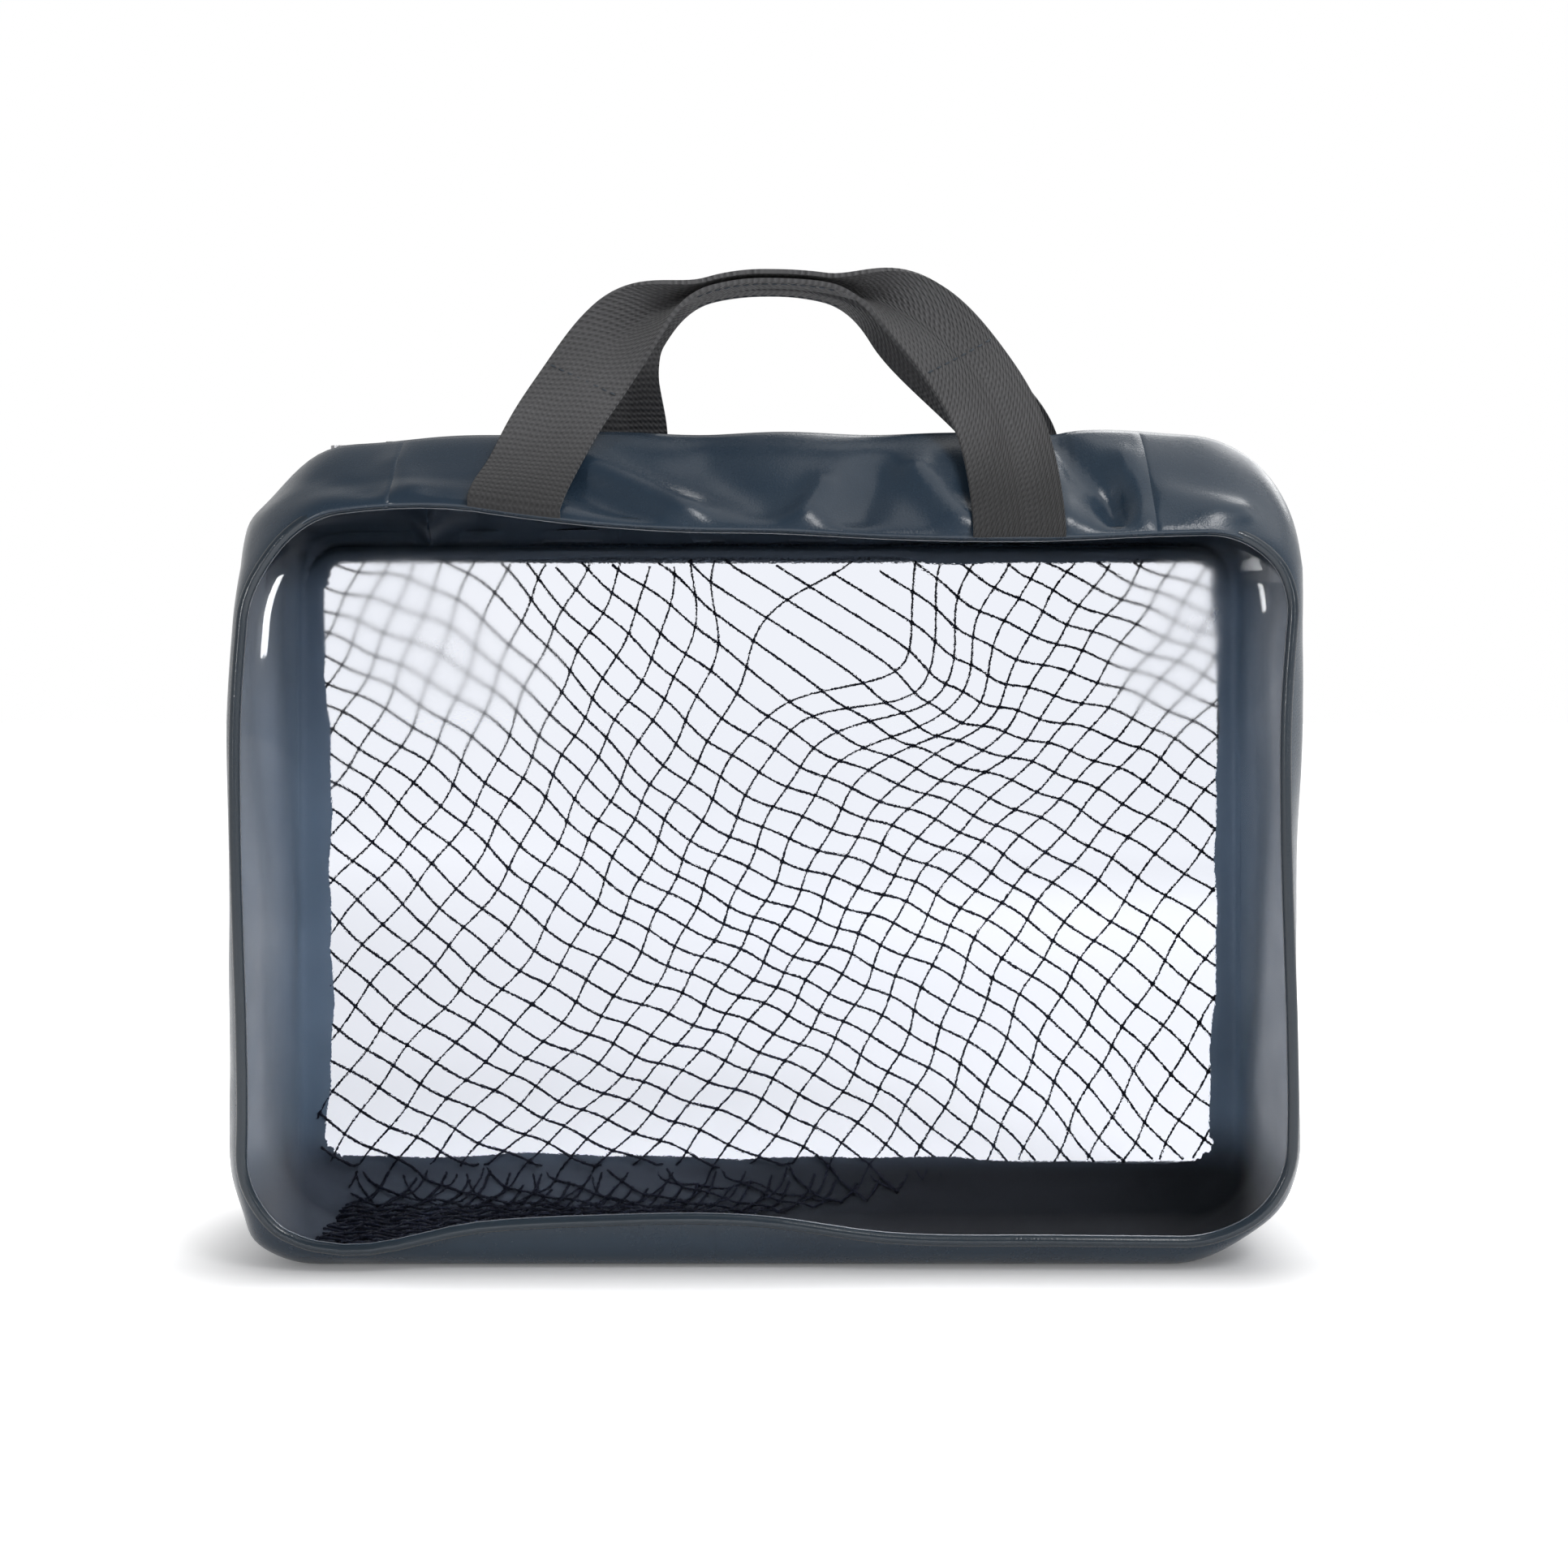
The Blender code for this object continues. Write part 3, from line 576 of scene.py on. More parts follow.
class Nodes:
    """A node tree, with short ways to add nodes to it."""

    def __init__(self, tree: bpy.types.NodeTree) -> None:
        """Take over a tree.

        Args:
            tree: The node tree.
        """
        self.tree = tree

    def add(self, kind: str, values: dict[str | int, object] | None = None,
            **settings: object) -> bpy.types.Node:
        """Add a node.

        Args:
            kind: The node's type.
            values: Values or source sockets for the node's inputs, by name or number.
            **settings: Properties of the node.

        Returns:
            The node.
        """
        node = self.tree.nodes.new(kind)
        for label, value in settings.items():
            setattr(node, label, value)
        for key, value in (values or {}).items():
            feed(self.tree, node.inputs[key], value)
        return node

    def maths(self, operation: str, *values: object) -> bpy.types.NodeSocket:
        """Add a Math node and return its result."""
        return self.add("ShaderNodeMath", dict(enumerate(values)), operation=operation).outputs[0]

    def vectors(self, operation: str, *values: object) -> bpy.types.bpy_prop_collection:
        """Add a Vector Math node and return its outputs."""
        return self.add("ShaderNodeVectorMath", dict(enumerate(values)), operation=operation).outputs

    def noise(self, at: bpy.types.NodeSocket, scale: object, detail: float,
              **more: float) -> bpy.types.NodeSocket:
        """Add a noise texture and return its factor."""
        return self.add("ShaderNodeTexNoise",
                        {"Vector": at, "Scale": scale, "Detail": detail, **more}).outputs[0]

    def fade(self, value: bpy.types.NodeSocket, span: tuple[float, float],
             ends: tuple[float, float] = (0.0, 1.0), smooth: bool = True) -> bpy.types.NodeSocket:
        """Carry a value from a span to the range between two ends, eased if smooth."""
        return self.add("ShaderNodeMapRange",
                        {"Value": value, "From Min": span[0], "From Max": span[1], "To Min": ends[0],
                         "To Max": ends[1]},
                        interpolation_type="SMOOTHSTEP" if smooth else "LINEAR").outputs[0]

    def between(self, share: object, first: object, second: object) -> bpy.types.NodeSocket:
        """Mix two values by a share."""
        return self.add("ShaderNodeMix", {0: share, 2: first, 3: second}).outputs[0]

    def blend(self, share: object, first: object, second: object) -> bpy.types.NodeSocket:
        """Mix two colours by a share."""
        return self.add("ShaderNodeMix", {0: share, 6: first, 7: second}, data_type="RGBA").outputs[2]

    def scale(self, colour: bpy.types.NodeSocket, share: object) -> bpy.types.NodeSocket:
        """Multiply a colour."""
        return self.add("ShaderNodeVectorMath", {0: colour, "Scale": share}, operation="SCALE").outputs[0]

    def rays(self, *kinds: str) -> bpy.types.NodeSocket:
        """A mask of the rays of any of the named kinds."""
        path = self.add("ShaderNodeLightPath").outputs
        mask = path[kinds[0]]
        for kind in kinds[1:]:
            mask = self.maths("MAXIMUM", mask, path[kind])
        return mask


class Recipe(Nodes):
    """A Geometry Nodes tree with named inputs that turns paths into plain meshes."""

    def __init__(self, name: str, inputs: dict[str, str]) -> None:
        """Make the tree and its sockets.

        Args:
            name: Name of the tree.
            inputs: Socket type of each named input.
        """
        super().__init__(bpy.data.node_groups.new(name, "GeometryNodeTree"))
        sides = self.tree.interface
        sides.new_socket("Path", in_out="INPUT", socket_type="NodeSocketGeometry")
        self.keys = {label: sides.new_socket(label, in_out="INPUT", socket_type=kind).identifier
                     for label, kind in {**inputs, "Finish": "NodeSocketMaterial"}.items()}
        sides.new_socket("Mesh", in_out="OUTPUT", socket_type="NodeSocketGeometry")
        self.start = self.add("NodeGroupInput").outputs
        self.name = name

    def run(self) -> bpy.types.NodeSocket:
        """The path as a curve."""
        return self.add("GeometryNodeMeshToCurve", {"Mesh": self.start["Path"]}).outputs[0]

    def pitched(self) -> bpy.types.bpy_prop_collection:
        """Points along the path at the recipe's pitch, with their tangents."""
        return self.add("GeometryNodeCurveToPoints", {"Curve": self.run(), "Length": self.start["Pitch"]},
                        mode="LENGTH").outputs

    def tube(self, sides: object) -> bpy.types.NodeSocket:
        """A circle of the recipe's radius swept along the path."""
        ring = self.add("GeometryNodeCurvePrimitiveCircle",
                        {"Resolution": sides, "Radius": self.start["Radius"]}).outputs[0]
        return self.add("GeometryNodeCurveToMesh",
                        {"Curve": self.run(), "Profile Curve": ring, "Fill Caps": True}).outputs[0]

    def join(self, *parts: bpy.types.NodeSocket) -> bpy.types.NodeSocket:
        """Join several geometries into one."""
        joined = self.add("GeometryNodeJoinGeometry")
        for part in parts:
            self.tree.links.new(part, joined.inputs[0])
        return joined.outputs[0]

    def close(self, shape: bpy.types.NodeSocket, smooth: bool = True) -> "Recipe":
        """End the tree: realise, shade and finish the shape."""
        real = self.add("GeometryNodeRealizeInstances", {"Geometry": shape})
        even = self.add("GeometryNodeSetShadeSmooth", {0: real.outputs[0], "Shade Smooth": smooth})
        dressed = self.add("GeometryNodeSetMaterial",
                           {"Geometry": even.outputs[0], "Material": self.start["Finish"]})
        self.add("NodeGroupOutput", {0: dressed.outputs[0]})
        return self

    def grow(self, name: str, path: bpy.types.Mesh, finish: bpy.types.Material,
             **values: float) -> bpy.types.Object:
        """Run the recipe on a path.

        Args:
            name: Name of the piece.
            path: Edges to follow.
            finish: Material of the piece.
            **values: The recipe's own inputs, by name.

        Returns:
            A plain mesh object at the origin.
        """
        guide = bpy.data.objects.new(f"{name}_guide", path)
        bpy.context.scene.collection.objects.link(guide)
        work = guide.modifiers.new(self.name, "NODES")
        work.node_group = self.tree
        work[self.keys["Finish"]] = finish
        for label, value in values.items():
            work[self.keys[label]] = value
        graph = bpy.context.evaluated_depsgraph_get()
        mesh = bpy.data.meshes.new_from_object(guide.evaluated_get(graph))
        mesh.name = name
        bpy.data.objects.remove(guide, do_unlink=True)
        made = bpy.data.objects.new(name, mesh)
        bpy.context.scene.collection.objects.link(made)
        return made


def stitch_recipe() -> Recipe:
    """Rows of sewn stitches: a slim bead at each pitch, lying along the path."""
    recipe = Recipe("sewn_stitches", {"Pitch": FLOAT, "Length": FLOAT, "Thread": FLOAT})
    spots = recipe.pitched()
    bead = recipe.add("GeometryNodeMeshUVSphere", {"Segments": 6, "Rings": 5, "Radius": 0.5})
    size = recipe.add("ShaderNodeCombineXYZ", {"X": recipe.start["Length"], "Y": recipe.start["Thread"],
                                               "Z": recipe.start["Thread"]})
    turn = recipe.add("FunctionNodeAlignRotationToVector", {"Vector": spots["Tangent"]}, axis="X")
    beads = recipe.add("GeometryNodeInstanceOnPoints",
                       {"Points": spots["Points"], "Instance": bead.outputs[0],
                        "Rotation": turn.outputs[0], "Scale": size.outputs[0]})
    return recipe.close(beads.outputs[0])


def round_run_recipe() -> Recipe:
    """Round runs such as piping: a circle swept along the path."""
    recipe = Recipe("round_runs", {"Radius": FLOAT, "Sides": INTEGER})
    return recipe.close(recipe.tube(recipe.start["Sides"]))


def net_recipe() -> Recipe:
    """Net threads along the path with a small knot at each marked point."""
    recipe = Recipe("knotted_threads", {"Radius": FLOAT, "Knot": FLOAT})
    marked = recipe.add("GeometryNodeInputNamedAttribute", {"Name": "knot"}, data_type="BOOLEAN")
    spots = recipe.add("GeometryNodeMeshToPoints", {"Mesh": recipe.start["Path"],
                                                    "Selection": marked.outputs["Attribute"]})
    bead = recipe.add("GeometryNodeMeshIcoSphere", {"Radius": recipe.start["Knot"], "Subdivisions": 1})
    knots = recipe.add("GeometryNodeInstanceOnPoints",
                       {"Points": spots.outputs[0], "Instance": bead.outputs[0]})
    return recipe.close(recipe.join(recipe.tube(6), knots.outputs[0]))


def tooth_recipe() -> Recipe:
    """A row of zip teeth: a neck and a head at each pitch."""
    recipe = Recipe("zip_tooth_row", {"Pitch": FLOAT, "Neck": VECTOR, "Head": VECTOR, "Reach": VECTOR})
    neck = recipe.add("GeometryNodeMeshCube", {"Size": recipe.start["Neck"]})
    head = recipe.add("GeometryNodeMeshCube", {"Size": recipe.start["Head"]})
    tip = recipe.add("GeometryNodeTransform",
                     {"Geometry": head.outputs[0], "Translation": recipe.start["Reach"]})
    tooth = recipe.join(neck.outputs[0], tip.outputs[0])
    teeth = recipe.add("GeometryNodeInstanceOnPoints",
                       {"Points": recipe.pitched()["Points"], "Instance": tooth})
    return recipe.close(teeth.outputs[0], smooth=False)


class ShaderGroup(Nodes):
    """A shader node group for a surface, placed in materials with their own values."""

    def __init__(self, name: str, inputs: dict[str, str]) -> None:
        """Make the group and its sockets.

        Args:
            name: Name of the group.
            inputs: Socket type of each input.
        """
        super().__init__(bpy.data.node_groups.new(name, "ShaderNodeTree"))
        for way, sockets in (("INPUT", inputs), ("OUTPUT", SURFACE)):
            for label, kind in sockets.items():
                self.tree.interface.new_socket(label, in_out=way, socket_type=kind)
        self.start = self.add("NodeGroupInput").outputs
        self.end = self.add("NodeGroupOutput").inputs

    def give(self, **results: bpy.types.NodeSocket) -> "ShaderGroup":
        """Link results to the group's outputs."""
        for label, socket in results.items():
            self.tree.links.new(socket, self.end[label])
        return self


def mottle_group() -> ShaderGroup:
    """Patchy colour, uneven gloss and a fine grain, for smooth sheet goods and metal."""
    group = ShaderGroup("mottle", {"Vector": VECTOR, "Colour": COLOUR, "Shade": COLOUR, "Gloss": FLOAT,
                                   "Patch": FLOAT, "Grain": FLOAT})
    at = group.start["Vector"]
    patch = group.noise(at, group.start["Patch"], 5.0)
    grain = group.noise(at, group.start["Grain"], 2.0)
    scuff = group.noise(at, group.maths("MULTIPLY", group.start["Patch"], 4.7), 6.0, Roughness=0.7)
    share = group.fade(patch, (0.35, 0.68), smooth=False)
    colour = group.blend(share, group.start["Colour"], group.start["Shade"])
    uneven = group.maths("MULTIPLY_ADD", group.maths("SUBTRACT", scuff, 0.5), 0.34, group.start["Gloss"])
    height = group.maths("MULTIPLY_ADD", scuff, 0.6, grain)
    return group.give(Colour=colour, Roughness=uneven, Height=height)


def weave_group() -> ShaderGroup:
    """Ribbed narrow-woven tape: cross ribs, fine threads, uneven dye and painted shade in the rib hollows,
    on UV metres.
    """
    group = ShaderGroup("narrow_weave", {"Vector": VECTOR, "Colour": COLOUR, "Light": COLOUR, "Rib": FLOAT,
                                         "Thread": FLOAT})
    at = group.start["Vector"]
    sway = group.noise(at, 140.0, 3.0)
    lanes = group.add("ShaderNodeSeparateXYZ", {0: at}).outputs
    bent = group.maths("MULTIPLY_ADD", sway, 0.0016, lanes["X"])
    ribs, yarn = (
        group.maths("SINE", group.maths("MULTIPLY", group.maths("DIVIDE", lane, pitch), math.tau))
        for lane, pitch in ((bent, group.start["Rib"]), (lanes["Y"], group.start["Thread"])))
    cross = group.maths("MULTIPLY", ribs, yarn)
    height = group.maths("MULTIPLY_ADD", cross, 0.45, group.maths("MULTIPLY", ribs, 0.55))
    fuzz = group.noise(at, 900.0, 3.0)
    dye = group.noise(at, 26.0, 4.0)
    # Colour follows rib height, fuzz and dye: darker rib hollows are painted shade; fuzz and dye are uneven
    # tone.
    dye_and_rib_shade = group.maths("MULTIPLY_ADD", height, 0.30,
                      group.maths("MULTIPLY_ADD", fuzz, 0.5, group.maths("MULTIPLY", dye, 0.45)))
    share = group.fade(dye_and_rib_shade, (0.1, 0.9), smooth=False)
    colour = group.blend(share, group.start["Colour"], group.start["Light"])
    rough = group.maths("MULTIPLY_ADD", fuzz, 0.3, 0.62)
    return group.give(Colour=colour, Roughness=rough,
                      Height=group.maths("MULTIPLY_ADD", fuzz, 0.35, height))


class Look(Nodes):
    """A material under construction, around its Principled shader."""

    def __init__(self, name: str) -> None:
        """Make the material.

        Args:
            name: Name of the material.
        """
        self.material = bpy.data.materials.new(name)
        self.material.use_nodes = True
        super().__init__(self.material.node_tree)
        self.shader = self.tree.nodes["Principled BSDF"]

    def place(self, group: ShaderGroup, **values: object) -> bpy.types.bpy_prop_collection:
        """Place a shader group with its own values and return its outputs."""
        return self.add("ShaderNodeGroup", values, node_tree=group.tree).outputs

    def set(self, **values: object) -> "Look":
        """Set or link the shader's own sockets, with underscores for spaces."""
        for label, value in values.items():
            feed(self.tree, self.shader.inputs[label.replace("_", " ")], value)
        return self

    def bump(self, height: bpy.types.NodeSocket, depth: float) -> "Look":
        """Feed a height to the normal, with its depth in metres."""
        node = self.add("ShaderNodeBump", {"Height": height, "Distance": depth, "Strength": 1.0})
        return self.set(Normal=node.outputs["Normal"])


def opaque(colour: Colour) -> tuple[float, float, float, float]:
    """A colour with full alpha."""
    return (*colour, 1.0)


@dataclass(frozen=True)
class SheetFinish:
    """Smooth vinyl, plastic or metal with patches, scuffs and a fine grain."""

    name: str
    colour: Colour
    shade: Colour
    gloss: float
    patch: float = 14.0
    grain: float = 1400.0
    depth: float = 0.00006
    metallic: float = 0.0
    specular: float = 0.5

    def make(self, mottle: ShaderGroup) -> bpy.types.Material:
        """Build the material from the shared mottle group."""
        look = Look(self.name)
        at = look.add("ShaderNodeTexCoord").outputs["Object"]
        parts = look.place(mottle, Vector=at, Colour=opaque(self.colour), Shade=opaque(self.shade),
                           Gloss=self.gloss, Patch=self.patch, Grain=self.grain)
        look.set(Base_Color=parts["Colour"], Roughness=parts["Roughness"], Metallic=self.metallic,
                 Specular_IOR_Level=self.specular)
        return look.bump(parts["Height"], self.depth).material


@dataclass(frozen=True)
class LiningFinish:
    """The vinyl's reverse: painted light towards the back, painted shade under the top and on the floor, a
    painted floor reflection at its left.
    """

    name: str
    colour: Colour
    shade: Colour
    # Near-black floor colour: painted shade.
    floor: Colour
    # Lighter floor colour at the left: painted reflection.
    painted_floor_reflection: Colour
    gloss: float
    floor_level: float = 0.012
    floor_fade: float = 0.026
    top_level: float = 0.222
    top_fade: float = 0.024
    top_shade: float = 0.22
    back_reach: float = 0.055
    back_light: float = 1.40
    reflection_from: float = 0.070
    reflection_to: float = -0.100
    patch: float = 11.0
    grain: float = 900.0
    depth: float = 0.00001
    floor_gloss: float = 0.95
    specular: float = 0.22

    def make(self, mottle: ShaderGroup) -> bpy.types.Material:
        """Build the material from the shared mottle group."""
        look = Look(self.name)
        at = look.add("ShaderNodeTexCoord").outputs["Object"]
        parts = look.place(mottle, Vector=at, Colour=opaque(self.colour), Shade=opaque(self.shade),
                           Gloss=self.gloss, Patch=self.patch, Grain=self.grain)
        side, depth, level = look.add("ShaderNodeSeparateXYZ", {0: at}).outputs
        rise = look.fade(level, (self.floor_level, self.floor_level + self.floor_fade))
        # The floor turns lighter towards the left: a painted reflection over the floor's painted shade.
        reflection_share = look.fade(side, (self.reflection_from, self.reflection_to))
        base = look.blend(reflection_share, opaque(self.floor), opaque(self.painted_floor_reflection))
        # Darker under the top: painted shade.
        painted_shade = look.fade(level, (self.top_level, self.top_level + self.top_fade), (1.0, self.top_shade))
        # Lighter towards the back: painted light.
        painted_back_light = look.fade(depth, (0.0, self.back_reach), (1.0, self.back_light), smooth=False)
        wall = look.scale(parts["Colour"], look.maths("MULTIPLY", painted_shade, painted_back_light))
        look.set(Base_Color=look.blend(rise, base, wall), Specular_IOR_Level=self.specular,
                 Roughness=look.between(rise, self.floor_gloss, parts["Roughness"]))
        return look.bump(parts["Height"], self.depth).material


@dataclass(frozen=True)
class WovenFinish:
    """Narrow-woven webbing or tape."""

    name: str
    colour: Colour
    light: Colour
    rib: float
    thread: float
    depth: float
    foot_shade: float = 1.0
    foot_level: float = 0.250
    foot_fade: float = 0.034
    sheen: float = 0.12
    specular: float = 0.35

    def make(self, weave: ShaderGroup) -> bpy.types.Material:
        """Build the material from the shared weave group, with painted shade low down near the feet."""
        look = Look(self.name)
        places = look.add("ShaderNodeTexCoord").outputs
        parts = look.place(weave, Vector=places["UV"], Colour=opaque(self.colour), Light=opaque(self.light),
                           Rib=self.rib, Thread=self.thread)
        level = look.add("ShaderNodeSeparateXYZ", {0: places["Object"]}).outputs["Z"]
        # Darker towards the feet: painted shade.
        painted_shade = look.fade(level, (self.foot_level, self.foot_level + self.foot_fade), (self.foot_shade, 1.0))
        look.set(Base_Color=look.scale(parts["Colour"], painted_shade), Roughness=parts["Roughness"],
                 Sheen_Weight=self.sheen, Specular_IOR_Level=self.specular)
        return look.bump(parts["Height"], self.depth).material


@dataclass(frozen=True)
class FilmFinish:
    """Clear vinyl film, slightly wavy, faintly hazy, and cloudy in two places."""

    name: str
    tint: Colour
    shade: Colour
    haze: float
    waves: float
    patch: float = 9.0
    grain: float = 26.0
    haze_share: float = 0.12
    bend: float = 1.12
    shadow_left: float = 0.1
    mirror: Colour = (0.0, 0.0, 0.0)
    clouds: tuple[tuple[Point, float], ...] = (((-0.114, -0.055, 0.208), 0.060),
                                               ((0.139, -0.055, 0.211), 0.044))
    cloud: float = 0.25
    cloud_scale: float = 34.0
    cloud_ragged: float = 0.075
    glint: float = 0.55
    glint_from: float = 0.152
    glint_to: float = 0.163
    glint_gloss: float = 0.03

    def make(self, mottle: ShaderGroup) -> bpy.types.Material:
        """Build the material; shadows pass through it."""
        look = Look(self.name)
        at = look.add("ShaderNodeTexCoord").outputs["Object"]
        parts = look.place(mottle, Vector=at, Colour=opaque(self.tint), Shade=opaque(self.shade),
                           Gloss=self.haze, Patch=self.patch, Grain=self.grain)
        rough = look.maths("MULTIPLY", parts["Roughness"], self.haze_share)
        wisps = look.noise(at, self.cloud_scale, 3.0)
        ragged = look.maths("MULTIPLY_ADD", wisps, self.cloud_ragged, -0.5 * self.cloud_ragged)
        for middle, reach in self.clouds:
            away = look.maths("ADD", look.vectors("DISTANCE", at, middle)["Value"], ragged)
            rough = look.maths("ADD", rough, look.fade(away, (0.0, reach), (self.cloud, 0.0)))
        clear = look.fade(look.rays("Is Shadow Ray"), (0.0, 1.0), (1.0, self.shadow_left), smooth=False)
        side = look.add("ShaderNodeSeparateXYZ", {0: at}).outputs["X"]
        glint = look.fade(look.maths("ABSOLUTE", side), (self.glint_from, self.glint_to),
                          (0.0, self.glint), smooth=False)
        look.set(Base_Color=parts["Colour"], Roughness=rough, IOR=self.bend, Transmission_Weight=1.0,
                 Alpha=clear, Coat_Weight=glint, Coat_Roughness=self.glint_gloss,
                 Specular_Tint=opaque(self.mirror))
        return look.bump(parts["Height"], self.waves).material


@dataclass(frozen=True)
class Finishes:
    """Every material of the bag."""

    vinyl: bpy.types.Material
    lining: bpy.types.Material
    tab: bpy.types.Material
    cord: bpy.types.Material
    film: bpy.types.Material
    net: bpy.types.Material
    binding: bpy.types.Material
    webbing: bpy.types.Material
    shaded_back_webbing: bpy.types.Material
    cloth: bpy.types.Material
    teeth: bpy.types.Material
    metal: bpy.types.Material
    thread: bpy.types.Material


def make_finishes() -> Finishes:
    """Make the bag's materials from two shared shader groups."""
    mottle, weave = mottle_group(), weave_group()
    return Finishes(
        vinyl=SheetFinish("slate_vinyl_skin", (0.028, 0.051, 0.080), (0.021, 0.039, 0.064),
                          0.26).make(mottle),
        # The reverse is painted much lighter than the face: painted light on the inside walls. Its floor
        # colours are painted shade and, at the left, a painted reflection.
        lining=LiningFinish("slate_vinyl_reverse", (0.113, 0.152, 0.196), (0.072, 0.100, 0.131),
                            (0.013, 0.0145, 0.017), (0.058, 0.068, 0.083), 0.38).make(mottle),
        tab=SheetFinish("slate_vinyl_patch", (0.032, 0.045, 0.060), (0.026, 0.037, 0.050),
                        0.32).make(mottle),
        cord=SheetFinish("slate_piping_skin", (0.026, 0.040, 0.056), (0.020, 0.032, 0.046),
                         0.16).make(mottle),
        film=FilmFinish("clear_film", (0.850, 0.875, 0.940), (0.885, 0.905, 0.965), 0.22,
                        0.00025).make(mottle),
        net=SheetFinish("net_yarn", (0.005, 0.006, 0.012), (0.010, 0.012, 0.021), 0.62, 60.0, 2600.0,
                        0.00008, specular=0.15).make(mottle),
        binding=WovenFinish("slate_grosgrain", (0.034, 0.044, 0.056), (0.070, 0.088, 0.108), 0.0011, 0.0009,
                            0.00012).make(weave),
        webbing=WovenFinish("charcoal_webbing_weave", (0.060, 0.060, 0.062), (0.144, 0.144, 0.149), 0.0023,
                            0.0018, 0.00034, foot_shade=0.45).make(weave),
        # A slightly darker copy of the front webbing for the back handle: painted shade.
        shaded_back_webbing=WovenFinish("charcoal_webbing_weave_back", (0.056, 0.056, 0.058),
                                 (0.132, 0.132, 0.137), 0.0023, 0.0018, 0.00030,
                                 foot_shade=0.55).make(weave),
        cloth=WovenFinish("zip_tape_twill", (0.012, 0.014, 0.019), (0.040, 0.043, 0.052), 0.0012, 0.0009,
                          0.00010).make(weave),
        teeth=SheetFinish("zip_tooth_plastic", (0.022, 0.025, 0.031), (0.034, 0.038, 0.045), 0.36, 90.0,
                          3000.0, 0.00003).make(mottle),
        metal=SheetFinish("zip_pull_metal", (0.36, 0.36, 0.37), (0.25, 0.25, 0.27), 0.30, 120.0, 2400.0,
                          0.00003, 1.0).make(mottle),
        thread=SheetFinish("sewing_thread", (0.040, 0.052, 0.066), (0.060, 0.074, 0.090), 0.55, 70.0,
                           2600.0, 0.00006).make(mottle),
    )


@dataclass(frozen=True)
class Bend:
    """Where a piece passes from one body to the next."""

    first: str
    second: str
    start: Point
    end: Point


@dataclass(frozen=True)
class Kit:
    """What every sub-assembly works with."""

    sizes: BagSizes
    form: BagForm
    looks: Finishes
    stitches: Recipe
    runs: Recipe
    threads: Recipe
    teeth: Recipe

    def settle(self, piece: bpy.types.Object, finish: bpy.types.Material, slot: str, hold: str | Bend,
               *nodes: str) -> bpy.types.Object:
        """Dress a piece and tie it to the frame.

        Args:
            piece: The finished piece.
            finish: Its material.
            slot: The record's material slot; not used.
            hold: The body that carries it, or a bend, for which it is left unattached in place.
            *nodes: Solids that it stands for.

        Returns:
            The piece.
        """
        piece.data.materials.clear()
        piece.data.materials.append(finish)
        if finish is self.looks.vinyl:
            piece.data.materials.append(self.looks.lining)
        if isinstance(hold, Bend):
            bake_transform(piece)
        else:
            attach(piece, hold)
        if nodes:
            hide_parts(*nodes)
        log.info("%s: %d points", piece.name, len(piece.data.vertices))
        return piece

    def sew(self, name: str, lines: Sequence[Array], slot: str, hold: str | Bend, closed: bool = False,
            pitch: float = 0.0036) -> bpy.types.Object:
        """Sew rows of stitches along lines.

        Args:
            name: Name of the piece.
            lines: Points of each row.
            slot: The record's material slot.
            hold: The body that carries the rows, or a bend, for which they are left unattached in place.
            closed: Whether the rows close on themselves.
            pitch: From one stitch to the next.

        Returns:
            The rows as one piece.
        """
        path = path_mesh(name, lines, closed)
        rows = self.stitches.grow(name, path, self.looks.thread, Pitch=pitch, Length=0.75 * pitch,
                                  Thread=0.0007)
        return self.settle(rows, self.looks.thread, slot, hold)


